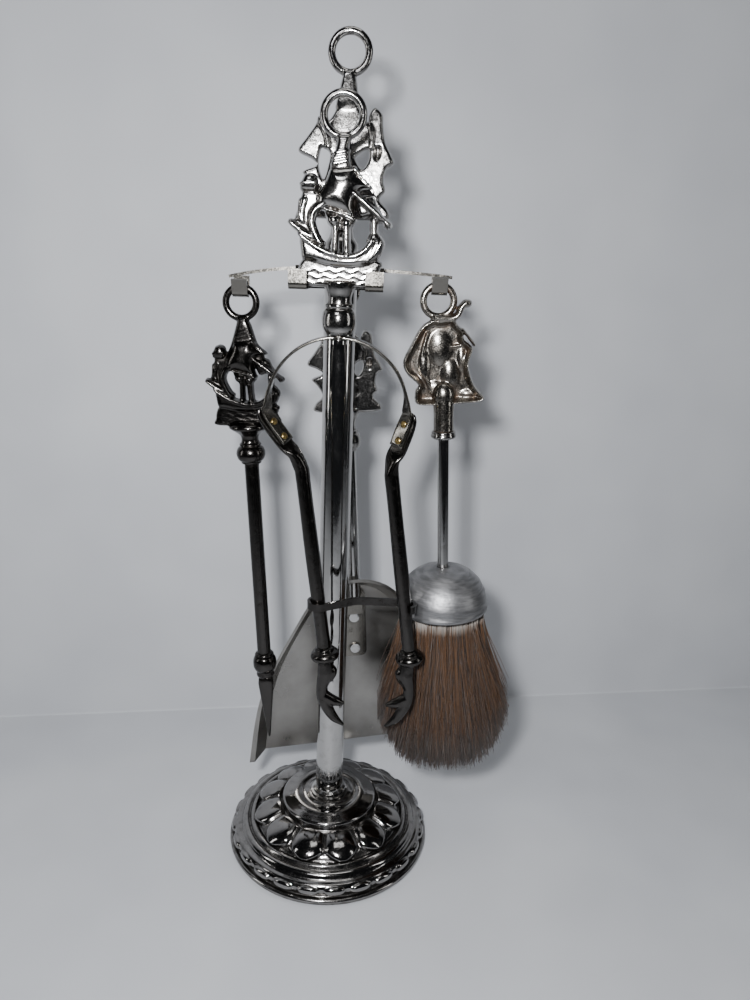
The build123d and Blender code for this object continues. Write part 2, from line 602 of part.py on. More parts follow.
for side, arm in arm_sides.items():
    sign = arm["sign"]
    shoulder = Vector(sign * arch_radius, shoulder_drop)
    knee = Vector(sign * arch_radius, shoulder_drop - 3.8)
    spring_end = Vector(*arm["spring_end"])
    rod_top = Vector(*arm["rod_top"])
    rod_foot = Vector(*arm["rod_foot"])
    along = (spring_end - knee).normalized()
    outward = Vector(along.Y, -along.X) * sign * -1

    with BuildPart() as spring:
        with BuildSketch(crown_face):
            with BuildLine():
                CenterArc((0, -arch_radius), arch_radius, 90 - sign * degrees(2.4 / arch_radius),
                          -sign * (90 - degrees(2.4 / arch_radius)))
                FilletPolyline(shoulder, knee, spring_end, radius=5.0)
            trace(line_width=strip_thickness)
        extrude(amount=strip_width / 2, both=True)
    spring.part.label = f"{side}_spring"
    export_step(spring.part, f"parts/{side}_spring.step")

    leaf_line = spring_end + outward * leaf_gap
    leaf_x = sign * (arch_radius + leaf_gap)
    leaf_knee = Vector(leaf_x, leaf_line.Y + along.Y * (leaf_x - leaf_line.X) / along.X)
    leaf_end = leaf_line + along * 9.0
    with BuildPart() as arm_rod:
        with BuildSketch(crown_face):
            with BuildLine():
                FilletPolyline((leaf_x, shoulder_drop + 3.0), leaf_knee, leaf_end, radius=6.5)
            trace(line_width=leaf_thickness)
        extrude(amount=strip_width / 2, both=True)
        run = rod_foot - rod_top
        rod_start = crown_face.from_local_coords(rod_top)
        rod_end = crown_face.from_local_coords(rod_foot)
        with BuildSketch(Plane(origin=rod_start, z_dir=rod_end - rod_start)):
            Circle(rod_radius)
        extrude(amount=run.length)
        with Locations(rod_start):
            Sphere(rod_radius)
    arm_rod.part.label = f"{side}_arm"
    export_step(arm_rod.part, f"parts/{side}_arm.step")

    # Two rivets through leaf and spring end, near the lower end of the leaf
    with BuildPart() as rivets:
        for step in (4.0, 13.0):
            centre = spring_end - along * step + outward * (leaf_gap / 2)
            spot = crown_face.from_local_coords(centre)
            through = crown_face.from_local_coords(centre + outward) - spot
            length = strip_thickness + leaf_thickness + 1.6
            with BuildSketch(Plane(origin=spot - through * (length / 2), z_dir=through)):
                Circle(1.6)
            extrude(amount=length)
    rivets.part.label = f"{side}_rivets"

    holes = Part() + rivets.part
    spring_drilled = spring.part - holes
    spring_drilled.label = f"{side}_spring"
    export_step(spring_drilled, f"parts/{side}_spring.step")
    arm_drilled = arm_rod.part - holes
    arm_drilled.label = f"{side}_arm"
    export_step(arm_drilled, f"parts/{side}_arm.step")
    export_step(rivets.part, f"parts/{side}_rivets.step")

    foot_lean = degrees(atan2(run.X, -run.Y))
    foot_face = tool_face(rod_end.X, tongs_y, rod_end.Z, foot_lean)
    with BuildPart() as arm_collar:
        with BuildSketch(foot_face):
            with BuildLine():
                Line((0, 0), (5.6, 0))
                ThreePointArc((5.6, 0), (8.1, -2.6), (5.6, -5.2))
                Polyline((5.6, -5.2), (0, -5.2), (0, 0))
            make_face()
        revolve(axis=rod_axis(foot_face))
    arm_collar.part.label = f"{side}_collar"
    export_step(arm_collar.part, f"parts/{side}_collar.step")

    with BuildPart() as claw:
        with BuildSketch(Plane(origin=rod_end, x_dir=(1, 0, 0), z_dir=(0, -1, 0))):
            Polygon(*[(-sign * x, y) for x, y in claw_outline], align=None)
        extrude(amount=3.6, both=True)
        split_plane = Plane(origin=foot_face.from_local_coords((0, -5.2, 0)), z_dir=-foot_face.y_dir)
        split(bisect_by=split_plane, keep=Keep.TOP)
    claw.part.label = f"{side}_claw"
    export_step(claw.part, f"parts/{side}_claw.step")


def arm_at(side, z):
    """Place of an arm's centre line at a height, in plan."""
    arm = arm_sides[side]
    top = crown_face.from_local_coords(Vector(*arm["rod_top"]))
    foot = crown_face.from_local_coords(Vector(*arm["rod_foot"]))
    share = (top.Z - z) / (top.Z - foot.Z)
    return Vector(top.X + share * (foot.X - top.X), tongs_y)


# An open S of flat strip: it passes in front of the left arm and behind the right one
left_hold = arm_at("left", link_z)
right_hold = arm_at("right", link_z)
cross_angle = 30.0
with BuildPart() as s_link:
    with BuildSketch(Plane.XY.offset(link_z - link_height / 2)):
        with BuildLine():
            front = CenterArc(left_hold, link_bend, 140, 270 + cross_angle - 140)
            rise = 2 * link_bend - link_bend * (1 - cos(radians(cross_angle)))
            corner = front @ 1 + (front % 1) * (rise / sin(radians(cross_angle)))
            FilletPolyline(front @ 1, corner, right_hold + Vector(0, link_bend), radius=9.0)
            CenterArc(right_hold, link_bend, 90, -150)
        trace(line_width=strip_thickness)
    extrude(amount=link_height)
s_link.part.label = "s_link"
export_step(s_link.part, "parts/s_link.step")
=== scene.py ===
# %% [markdown]
# # A chrome fireplace tool set with sailing-ship handles
#
# The CAD model already holds every size, place and joint. This script dresses it: the castings, the bent
# strips, the brush and the round base get the soft, worn shapes of the real things, and every surface
# gets a finish. All new shapes are worked out in millimetres, in the plane of the tool that they belong
# to.

# %% Load the frame and keep its size
import json
from math import atan2, cos, pi, radians, sin, tau

import bpy
import numpy as np
from mathutils import Matrix, Vector


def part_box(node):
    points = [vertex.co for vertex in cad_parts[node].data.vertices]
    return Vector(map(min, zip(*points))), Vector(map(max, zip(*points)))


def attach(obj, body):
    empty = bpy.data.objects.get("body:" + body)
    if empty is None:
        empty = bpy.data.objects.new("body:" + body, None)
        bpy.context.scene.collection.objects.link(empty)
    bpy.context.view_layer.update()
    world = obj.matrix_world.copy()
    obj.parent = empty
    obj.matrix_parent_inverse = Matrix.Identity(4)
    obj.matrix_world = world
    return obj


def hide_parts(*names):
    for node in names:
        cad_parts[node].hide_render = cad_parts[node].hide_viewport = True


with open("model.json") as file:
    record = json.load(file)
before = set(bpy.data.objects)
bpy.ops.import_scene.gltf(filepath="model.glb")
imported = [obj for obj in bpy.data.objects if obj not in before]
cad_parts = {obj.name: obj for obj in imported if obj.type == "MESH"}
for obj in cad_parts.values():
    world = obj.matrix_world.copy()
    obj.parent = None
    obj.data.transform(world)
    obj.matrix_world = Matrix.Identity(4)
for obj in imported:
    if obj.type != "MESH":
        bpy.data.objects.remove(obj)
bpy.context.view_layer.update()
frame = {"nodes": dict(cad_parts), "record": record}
MM = 0.001
rng = np.random.default_rng(11)
record = frame["record"]
joints = {joint["name"]: joint for joint in record["behaviour"]["joints"]}

# %% [markdown]
# ## Places
#
# A hanging tool is easiest to draw flat, as if it lay on a bench: x to its right, y up its rod and z
# towards the viewer, with the middle of its ring at zero. A rod's box gives its lean: the box is as wide
# as the rod plus the distance that the rod leans.

# %% Tool planes from the boxes of the CAD nodes
class Bench:
    """A flat drawing plane standing in the frame: local millimetres in, metres in the frame out."""

    def __init__(self, origin, lean=0.0):
        self.origin = np.array(origin, float)
        self.right = np.array([cos(lean), 0.0, sin(lean)])
        self.up = np.array([-sin(lean), 0.0, cos(lean)])
        self.front = np.cross(self.right, self.up)

    def place(self, points):
        points = np.asarray(points, float)
        basis = np.array([self.right, self.up, self.front])
        return (self.origin + points @ basis) * MM


def box_mm(node):
    low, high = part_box(node)
    return np.array(low) / MM, np.array(high) / MM


def hanging(rod, rod_radius, handle, ring_outer, ring_offset=0.0):
    """The plane of a leaning tool, from its rod's box and the top of its handle's box."""
    low, high = box_mm(rod)
    lean = 0.0
    for _ in range(8):
        lean = atan2(high[0] - low[0] - 2 * rod_radius * cos(lean),
                     high[2] - low[2] - 2 * rod_radius * sin(lean))
    top = np.array([low[0] + rod_radius * cos(lean), (low[1] + high[1]) / 2,
                    high[2] - rod_radius * sin(lean)])
    ring_z = box_mm(handle)[1][2] - ring_outer + ring_offset * sin(lean)
    rise = (ring_z - top[2]) / cos(lean)
    return Bench(top + rise * np.array([-sin(lean), 0, cos(lean)]), lean)


SMALL_RING, SMALL_TUBE = 7.87, 1.87
BIG_RING, BIG_TUBE = 9.0, 1.8
ROD, BRUSH_ROD, BRUSH_RING_SHIFT = 4.0, 3.2, 2.9
# Melting and smoothing thins a ring a little, so the two large ones start thicker
MELTED_TUBE = BIG_TUBE + 0.1
small_outer = SMALL_RING + SMALL_TUBE
poker_bench = hanging("poker_rod", ROD, "poker_handle", small_outer)
shovel_bench = hanging("shovel_rod", ROD, "shovel_handle", small_outer)
brush_bench = hanging("brush_rod", BRUSH_ROD, "brush_handle", small_outer, ring_offset=BRUSH_RING_SHIFT)
crown = np.array(joints["tongs_left_swing"]["pos_m"]) / MM
tongs_bench = Bench((crown[0], crown[1], box_mm("tongs_handle")[1][2] - BIG_RING - BIG_TUBE))
crown_bench = Bench(crown)
finial_bench = Bench((1.6, 0, box_mm("finial_ship")[1][2] - BIG_RING - BIG_TUBE))
for name, bench in (("poker", poker_bench), ("brush", brush_bench), ("shovel", shovel_bench),
                    ("tongs", tongs_bench)):
    print(name, "ring at", np.round(bench.origin, 2), "lean",
          round(atan2(bench.right[2], bench.right[0]) * 180 / pi, 2))

# %% [markdown]
# ## Camera, floor and light
#
# The set stands close in front of a pale wall and is seen from a little above. Polished chrome has almost
# no colour of its own: it is a picture of the room. So the room is kept dark on the viewer's side, where
# the rods reflect it as a dark stripe, and pale behind, where they reflect the wall as bright edges.

# %% Camera
pitch, roll = 0.3059, -0.0395
forward = Vector((0, cos(pitch), -sin(pitch)))
level_right, level_up = Vector((1, 0, 0)), Vector((0, sin(pitch), cos(pitch)))
right = (level_right - roll * level_up).normalized()
up = (level_up + roll * level_right).normalized()
camera_data = bpy.data.cameras.new("camera")
camera_data.lens, camera_data.sensor_width = 27.04, 36
camera = bpy.data.objects.new("camera", camera_data)
turned = Matrix((right, up, -forward)).transposed().to_4x4()
camera.matrix_world = Matrix.Translation((0.0223, -0.4069, 0.3576)) @ turned
bpy.context.collection.objects.link(camera)
bpy.context.scene.camera = camera


# %% Small helpers: colours, nodes and meshes
def srgb(code):
    """A hex colour as linear RGBA."""
    parts = [int(code[i:i + 2], 16) / 255 for i in (1, 3, 5)]
    return tuple(p / 12.92 if p <= 0.04045 else ((p + 0.055) / 1.055) ** 2.4 for p in parts) + (1.0,)


def add(tree, kind, links=None, **settings):
    """Add a node, set its properties, and fill its inputs with values or with other nodes' outputs."""
    made = tree.nodes.new("ShaderNode" + kind)
    for name, value in settings.items():
        setattr(made, name, value)
    for name, value in (links or {}).items():
        if isinstance(value, bpy.types.NodeSocket):
            tree.links.new(value, made.inputs[name])
        else:
            made.inputs[name].default_value = value
    return made


def ramp(tree, value, low, high, start=0.0, end=1.0):
    """Map a value between two limits to another range, clamped."""
    mapped = add(tree, "MapRange", {"Value": value, "From Min": low, "From Max": high, "To Min": start,
                                    "To Max": end})
    return mapped.outputs["Result"]


def mix(tree, share, first, second):
    mixed = add(tree, "Mix", {0: share}, data_type="RGBA")
    for index, colour in ((6, first), (7, second)):
        if isinstance(colour, bpy.types.NodeSocket):
            tree.links.new(colour, mixed.inputs[index])
        else:
            mixed.inputs[index].default_value = colour
    return mixed.outputs[2]


def per_mm(size):
    """The texture scale that makes one feature about this many millimetres across."""
    return 1.0 / (size * MM)


def noise(tree, size, detail=3.0, stretch=(1, 1, 1)):
    coordinates = add(tree, "TexCoord").outputs["Object"]
    moved = add(tree, "Mapping", {"Vector": coordinates, "Scale": stretch}).outputs["Vector"]
    texture = add(tree, "TexNoise", {"Vector": moved, "Scale": per_mm(size), "Detail": detail})
    return texture.outputs[0]


def new_material(name):
    material = bpy.data.materials.new(name)
    material.use_nodes = True
    tree = material.node_tree
    return material, tree, tree.nodes["Principled BSDF"]


def solid(name, vertices, faces):
    """A mesh object from places in metres."""
    mesh = bpy.data.meshes.new(name)
    mesh.from_pydata([tuple(v) for v in vertices], [], [tuple(f) for f in faces])
    mesh.update()
    mesh.validate()
    mesh.shade_smooth()
    made = bpy.data.objects.new(name, mesh)
    bpy.context.collection.objects.link(made)
    return made


# %% Floor and wall
stage_material, tree, shader = new_material("matt pale paper")
cloud = noise(tree, 90, 2)
tone = mix(tree, ramp(tree, cloud, 0.3, 0.7), srgb("#C2C4C8"), srgb("#CCCED1"))
tree.links.new(tone, shader.inputs["Base Color"])
shader.inputs["Roughness"].default_value = 0.62
fine = noise(tree, 0.8)
bump = add(tree, "Bump", {"Height": fine, "Strength": 0.06, "Distance": 0.2 * MM})
tree.links.new(bump.outputs["Normal"], shader.inputs["Normal"])

# The wall stands a little askew behind the set, so its foot rises to the right
WALL_Y, WALL_SLOPE, COVE, HALF_WIDTH = 149.0, 0.142, 1.5, 900.0
cove_angles = np.linspace(0, pi / 2, 9)
section = [(-760.0, 0.0)]
section += [(-COVE + COVE * sin(a), COVE - COVE * cos(a)) for a in cove_angles]
section += [(0.0, 900.0)]
backdrop_points = [(x * MM, (WALL_Y + WALL_SLOPE * x + y) * MM, z * MM) for x in (-HALF_WIDTH, HALF_WIDTH)
                   for y, z in section]
count = len(section)
backdrop = solid("backdrop", backdrop_points, [(i, count + i, count + i + 1, i + 1)
                                               for i in range(count - 1)])
backdrop.data.materials.append(stage_material)


# %% Lights
def area_light(name, place, aim, size, power, colour="#FFFFFF"):
    data = bpy.data.lights.new(name, "AREA")
    data.shape, data.size, data.size_y = "RECTANGLE", size[0], size[1]
    data.energy, data.color = power, srgb(colour)[:3]
    lamp = bpy.data.objects.new(name, data)
    lamp.location = place
    lamp.rotation_euler = (Vector(aim) - Vector(place)).to_track_quat("-Z", "Y").to_euler()
    bpy.context.collection.objects.link(lamp)


area_light("flash", (-0.027, -0.42, 0.41), (0.02, 0.0, 0.20), (0.035, 0.035), 3.3, "#FBFCFF")
area_light("front_soft", (-0.12, -0.50, 0.66), (0.02, 0.0, 0.22), (0.16, 0.10), 0.6, "#F8FAFF")
area_light("overhead", (0.05, -0.12, 1.15), (0.0, 0.05, 0.0), (0.45, 0.25), 0.9)
area_light("right_strip", (0.62, -0.25, 0.42), (0.0, 0.0, 0.25), (0.06, 0.5), 0.5)
area_light("left_strip", (-0.60, -0.20, 0.35), (0.0, 0.0, 0.2), (0.06, 0.4), 0.5)
world = bpy.data.worlds.new("dark room")
bpy.context.scene.world = world
world.use_nodes = True
background = world.node_tree.nodes["Background"]
background.inputs["Color"].default_value = srgb("#3A3C40")
background.inputs["Strength"].default_value = 0.3

# %% [markdown]
# ## Finishes
#
# Chrome on a rough casting is bright on its high places. The shader asks how enclosed a point is, breaks
# the answer up with noise, and paints a darker brown-grey colour there: painted shade in the hollows. The
# plating itself is a plain metal: the life is in its roughness, wavy from the casting underneath.


# %% Chrome finishes
def chrome(name, bright, recess_shade, rough, shade_share=0.6, pits=0.0, wave=0.05, reach=2.5):
    """Plated metal: a bright colour, painted shade in recesses, pits and a slow waviness."""
    material, tree, shader = new_material(name)
    shader.inputs["Metallic"].default_value = 1.0
    patches, grain = noise(tree, 5.0, 4), noise(tree, 0.7, 4)
    # Painted shade: where ambient occlusion finds a point enclosed, the colour turns to the darker recess
    # colour and the roughness rises
    enclosed = add(tree, "AmbientOcclusion", {"Distance": reach * MM}, samples=4).outputs["AO"]
    broken_shade = add(tree, "Math", {0: enclosed, 1: ramp(tree, patches, 0.3, 0.7, -0.22, 0.22)}, operation="ADD")
    shade_mask = ramp(tree, broken_shade.outputs[0], 0.95, 0.45, 0.0, shade_share)
    tree.links.new(mix(tree, shade_mask, srgb(bright), srgb(recess_shade)), shader.inputs["Base Color"])
    wear = ramp(tree, grain, 0.35, 0.7, rough[0], rough[1])
    tree.links.new(add(tree, "Math", {0: wear, 1: ramp(tree, shade_mask, 0, 1, 0, 0.35)},
                       operation="ADD").outputs[0], shader.inputs["Roughness"])
    slow = add(tree, "Bump", {"Height": patches, "Strength": 1.0, "Distance": wave * MM})
    small = add(tree, "Bump", {"Height": grain, "Strength": 1.0, "Distance": pits * MM,
                               "Normal": slow.outputs["Normal"]})
    tree.links.new(small.outputs["Normal"], shader.inputs["Normal"])
    return material


# Drawn tube and rods: clean mirror with a faint waviness
rod_chrome = chrome("bright chrome on drawn steel", "#B9B8B6", "#5A5148", (0.05, 0.14), shade_share=0.45,
                    pits=0.004, wave=0.03)
# Castings: rougher, with brown painted shade in every hollow, so the relief reads
cast_chrome = chrome("chrome on rough casting", "#9C9A97", "#3A3027", (0.09, 0.2), shade_share=0.9, pits=0.015,
                     wave=0.12)
# The tool ends and the poker's handle get a dark base colour: painted reflection of the dark room in front
dark_chrome = chrome("chrome painted dark for the reflected room", "#454341", "#1A1612", (0.12, 0.26), shade_share=0.9, pits=0.025,
                     wave=0.10)
# Rust-brown painted shade in the hollow back of the brush handle
hollow_shade_chrome = chrome("chrome with rust-brown painted shade", "#8F8B84", "#4A3420", (0.13, 0.3), shade_share=0.95, pits=0.05,
                      wave=0.14, reach=4.5)
# Rolled strip: less polished, shows long soft streaks
strip_chrome = chrome("chrome on rolled strip", "#7C7973", "#3A332B", (0.13, 0.26), shade_share=0.6, pits=0.008,
                      wave=0.04)
# The lobed base is the brightest piece
base_chrome = chrome("bright chrome on cast base", "#8C8A88", "#26221D", (0.06, 0.16), shade_share=0.85, pits=0.008,
                     wave=0.10, reach=5.0)
print("six chrome finishes")

# %% [markdown]
# The pan and the dome aren't mirrors. The pan is rolled sheet, dulled by scraping, with fine scratches
# along its length. The dome is soft aluminium with a hammered, brushed skin. Fibre, felt, brass and dark
# steel finish the set.

# %% Pan, dome and the small finishes
pan_steel, tree, shader = new_material("satin scraped steel")
shader.inputs["Metallic"].default_value = 1.0
scratches = noise(tree, 0.9, 3, (1, 1, 0.03))
smears = noise(tree, 22, 4)
tree.links.new(mix(tree, ramp(tree, smears, 0.35, 0.65), srgb("#8B8985"), srgb("#A3A19D")),
               shader.inputs["Base Color"])
tree.links.new(ramp(tree, smears, 0.3, 0.7, 0.26, 0.44), shader.inputs["Roughness"])
bump = add(tree, "Bump", {"Height": scratches, "Strength": 0.6, "Distance": 0.03 * MM})
tree.links.new(bump.outputs["Normal"], shader.inputs["Normal"])

dome_metal, tree, shader = new_material("hammered dull aluminium")
shader.inputs["Metallic"].default_value = 1.0
dents = add(tree, "TexVoronoi", {"Vector": add(tree, "TexCoord").outputs["Object"], "Scale": per_mm(2.2)},
            feature="SMOOTH_F1").outputs["Distance"]
brushed = noise(tree, 1.2, 3, (0.15, 0.15, 1))
tree.links.new(mix(tree, ramp(tree, brushed, 0.35, 0.65), srgb("#858586"), srgb("#A2A2A3")),
               shader.inputs["Base Color"])
shader.inputs["Roughness"].default_value = 0.46
coarse = add(tree, "Bump", {"Height": dents, "Strength": 0.5, "Distance": 0.18 * MM})
bump = add(tree, "Bump", {"Height": brushed, "Strength": 0.6, "Distance": 0.08 * MM,
                          "Normal": coarse.outputs["Normal"]})
tree.links.new(bump.outputs["Normal"], shader.inputs["Normal"])

fibre, tree, shader = new_material("coarse brown fibre")
strand_tone = add(tree, "Attribute", attribute_name="tone").outputs["Fac"]
silvered = add(tree, "Attribute", attribute_name="silvered").outputs["Fac"]
browns = mix(tree, strand_tone, srgb("#150C06"), srgb("#6B4828"))
tree.links.new(mix(tree, silvered, browns, srgb("#CBC7BF")), shader.inputs["Base Color"])
shader.inputs["Roughness"].default_value = 0.48
shader.inputs["Sheen Weight"].default_value = 0.15

felt, tree, shader = new_material("green wool felt")
fluff = noise(tree, 0.5, 5)
tree.links.new(mix(tree, fluff, srgb("#1F3326"), srgb("#31493A")), shader.inputs["Base Color"])
shader.inputs["Roughness"].default_value = 0.95
bump = add(tree, "Bump", {"Height": fluff, "Strength": 0.8, "Distance": 0.2 * MM})
tree.links.new(bump.outputs["Normal"], shader.inputs["Normal"])

brass, tree, shader = new_material("dulled brass")
shader.inputs["Metallic"].default_value = 1.0
tarnish = noise(tree, 1.0, 4)
tree.links.new(mix(tree, tarnish, srgb("#A8925F"), srgb("#6E5B38")), shader.inputs["Base Color"])
tree.links.new(ramp(tree, tarnish, 0.3, 0.7, 0.22, 0.45), shader.inputs["Roughness"])

plain_steel, tree, shader = new_material("dull zinc steel")
shader.inputs["Metallic"].default_value = 1.0
mottle = noise(tree, 1.5, 4)
tree.links.new(mix(tree, mottle, srgb("#4C4C4E"), srgb("#77777A")), shader.inputs["Base Color"])
tree.links.new(ramp(tree, mottle, 0.3, 0.7, 0.35, 0.55), shader.inputs["Roughness"])

finish_of_node = {"felt_pad": felt, "tie_rod": plain_steel, "base_washer": plain_steel,
                  "base_nut": plain_steel, "shovel_pan": pan_steel, "hanger_bar": strip_chrome,
                  "hanger_fork": strip_chrome, "s_link": dark_chrome, "shovel_bracket": strip_chrome,
                  "poker_rod": dark_chrome}
for node, part in frame["nodes"].items():
    part.data.materials.clear()
    part.data.materials.append(finish_of_node.get(node, rod_chrome))


# %% [markdown]
# ## Turned pieces
#
# Balls, cups and collars are turned shapes. A profile of radius and height, revolved about the tool's
# axis, gives each one. Where the real casting is fluted or lobed, the radius changes on the way round.

# %% Revolve and join
def curve_points(points, per_span=6):
    """A smooth line through the points."""
    points = np.asarray(points, float)
    padded = np.vstack([2 * points[0] - points[1], points, 2 * points[-1] - points[-2]])
    line = []
    for a, b, c, d in zip(padded, padded[1:], padded[2:], padded[3:]):
        square = 2 * a - 5 * b + 4 * c - d
        cube = 3 * b - a - 3 * c + d
        for t in np.arange(per_span) / per_span:
            line.append(0.5 * (2 * b + (c - a) * t + square * t ** 2 + cube * t ** 3))
    return np.array(line + [points[-1]])


def tube_faces(rows, sides):
    """Faces of a closed tube whose vertices lie in rows, with both ends covered."""
    faces = [(i * sides + k, i * sides + (k + 1) % sides, (i + 1) * sides + (k + 1) % sides,
              (i + 1) * sides + k) for i in range(rows - 1) for k in range(sides)]
    return faces + [tuple(range(sides))[::-1], tuple((rows - 1) * sides + k for k in range(sides))]


def lathe(profile, segments=72, closed=False, swell=None):
    """Revolve a profile of (radius, height); swell(radius, height, angle) pushes it outwards."""
    profile = np.asarray(profile, float)
    rows = len(profile)
    angles = np.arange(segments) * tau / segments
    vertices = []
    for r, h in profile:
        for angle in angles:
            grown = r + (swell(r, h, angle) if swell else 0.0)
            vertices.append((grown * cos(angle), h, -grown * sin(angle)))
    faces = tube_faces(rows, segments)
    if closed:
        last = (rows - 1) * segments
        faces = faces[:-2] + [(last + k, last + (k + 1) % segments, (k + 1) % segments, k)
                              for k in range(segments)]
    return np.array(vertices), faces


def torus(centre, major, minor, around=64, section=20):
    """Ring in the bench plane."""
    vertices, faces = [], []
    for i in range(around):
        a = tau * i / around
        for k in range(section):
            b = tau * k / section
            reach = major + minor * cos(b)
            vertices.append((centre[0] + reach * cos(a), centre[1] + reach * sin(a), minor * sin(b)))
    for i in range(around):
        for k in range(section):
            n, m = (i + 1) % around, (k + 1) % section
            faces.append((i * section + k, n * section + k, n * section + m, i * section + m))
    return np.array(vertices), faces


def gather(*shapes):
    """Join mesh data."""
    vertices, faces, start = [], [], 0
    for places, sides in shapes:
        vertices.append(places)
        faces += [tuple(i + start for i in side) for side in sides]
        start += len(places)
    return np.vstack(vertices), faces


def piece(name, bench, shape, material, body, nodes, voxel=None, rounds=3):
    """Place a shape, melt it into one skin if voxel is given, hang it on its body and hide the CAD nodes it
    replaces.
    """
    made = solid(name, bench.place(shape[0]), shape[1])
    if voxel:
        melt = made.modifiers.new("melt", "REMESH")
        melt.mode, melt.voxel_size, melt.use_smooth_shade = "VOXEL", voxel * MM, True
        soften = made.modifiers.new("soften", "SMOOTH")
        soften.factor, soften.iterations = 0.5, rounds
        skin = bpy.data.meshes.new_from_object(made.evaluated_get(bpy.context.evaluated_depsgraph_get()))
        made.modifiers.clear()
        made.data = skin
        skin.shade_smooth()
    made.data.materials.clear()
    made.data.materials.append(material)
    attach(made, body)
    if nodes:
        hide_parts(*nodes)
    print(name, "faces", len(made.data.polygons))
    return made


def ball_profile(top, low, widest, ends):
    """Profile of a squashed ball between two heights."""
    middle, half = (top + low) / 2, (top - low) / 2
    angles = np.linspace(0.18, pi - 0.18, 15)
    return [(ends + (widest - ends) * sin(a), middle + half * cos(a)) for a in angles]


# %% [markdown]
# ## The lobed base
#
# The base is one thin casting: twelve fat petals slope down from a short wall, two beads run round them,
# and a band of raised ovals runs round the rim. It is drawn as a lathe profile that is pushed out along
# its slope by the petals and the ovals.

# %% Base casting
PETALS, OVALS = 12, 24
petal_outer, petal_inner = np.array([46.6, 16.4]), np.array([30.6, 24.6])
base_outline = curve_points([(46.6, 16.4), (43.8, 19.6), (38.6, 22.6), (33.5, 24.2), (30.6, 24.6)], 7)[::-1]
top_line = [(3.2, 31.5), (14.0, 31.5), (14.4, 31.0), (17.8, 31.0), (18.2, 31.5), (22.4, 31.5), (22.9, 31.0),
            (24.4, 30.9), (25.2, 30.3), (28.4, 29.9), (29.5, 29.2), (29.7, 28.2), (29.5, 25.4), (30.0, 24.8)]
bead_line = curve_points([(46.6, 16.4), (47.6, 17.1), (49.2, 16.9), (50.4, 15.4), (50.9, 14.9), (52.4, 15.7),
                          (54.4, 14.9), (55.6, 13.0), (56.2, 12.6)], 4)
rim_line = curve_points([(56.6, 12.5), (58.8, 11.9), (60.2, 10.2), (60.6, 8.4), (60.4, 6.3), (60.0, 5.3)], 6)
foot_line = curve_points([(60.6, 4.9), (62.4, 4.8), (63.3, 3.9), (63.3, 2.5), (62.6, 1.5)], 4)
inner_line = [(59.0, 1.5), (56.0, 6.5), (50.0, 11.0), (44.0, 13.0), (31.5, 20.0), (27.5, 26.0), (10.0, 27.5),
              (10.0, 9.0), (3.2, 9.0)]


def petal_height(r, angle):
    along = (petal_outer[0] - r) / (petal_outer[0] - petal_inner[0])
    across = abs(2 * ((angle * PETALS / tau) % 1.0) - 1)
    if not 0 < along < 1:
        return 0.0
    width = 0.97 * min(1.0, (1 - max(0.0, (0.42 - along) / 0.42) ** 2.2)) ** 0.5
    width *= min(1.0, (1 - max(0.0, (along - 0.86) / 0.14) ** 2) ** 0.5 + 0.02)
    return 3.1 * max(0.0, 1 - (across / max(width, 0.01)) ** 2.4) ** 0.5 - 0.7


def oval_height(r, h, angle):
    sideways = (((angle * OVALS / tau) % 1.0) - 0.5) * tau * r / OVALS
    return 1.7 * max(0.0, 1 - (abs(sideways) / 6.3) ** 2.6 - (abs(h - 8.6) / 2.6) ** 2.2) ** 0.5 - 0.15


def base_shape(segments=480):
    profile = np.array([*top_line, *base_outline, *bead_line, *rim_line, *foot_line, *inner_line])
    first_petal, last_petal = len(top_line), len(top_line) + len(base_outline)
    first_oval = last_petal + len(bead_line)
    last_oval = first_oval + len(rim_line)
    vertices, faces = lathe(profile, segments, closed=True)
    vertices = vertices.reshape(len(profile), segments, 3)
    slopes = np.gradient(profile, axis=0)
    for i in range(first_petal, last_oval):
        r, h = profile[i]
        normal = np.array([-slopes[i][1], slopes[i][0]])
        normal = normal / np.linalg.norm(normal)
        for k in range(segments):
            angle = k * tau / segments
            if i < last_petal:
                push = petal_height(r, angle)
            elif i >= first_oval:
                push = oval_height(r, h, angle)
            else:
                break
            grown, lifted = r + push * normal[0], h + push * normal[1]
            vertices[i, k] = (grown * cos(angle), lifted, -grown * sin(angle))
    return vertices.reshape(-1, 3), faces


stand_bench = Bench((0, 0, 0))
piece("lobed_base", stand_bench, base_shape(), base_chrome, "stand", ["base_casting"])


# %% [markdown]
# ## The sailing-ship castings
#
# Each handle is a flat-backed casting poured in an open mould, so it is a relief: a height over a flat
# drawing. Sails are pillows with a rounded edge, yards and rails are half-round bars, and blobs make the
# fighting top. Distances to the outlines are worked out on a fine grid, the highest shape wins, and the
# relief, its ring and its neck are then melted into one skin, which rounds every joint as plating does.

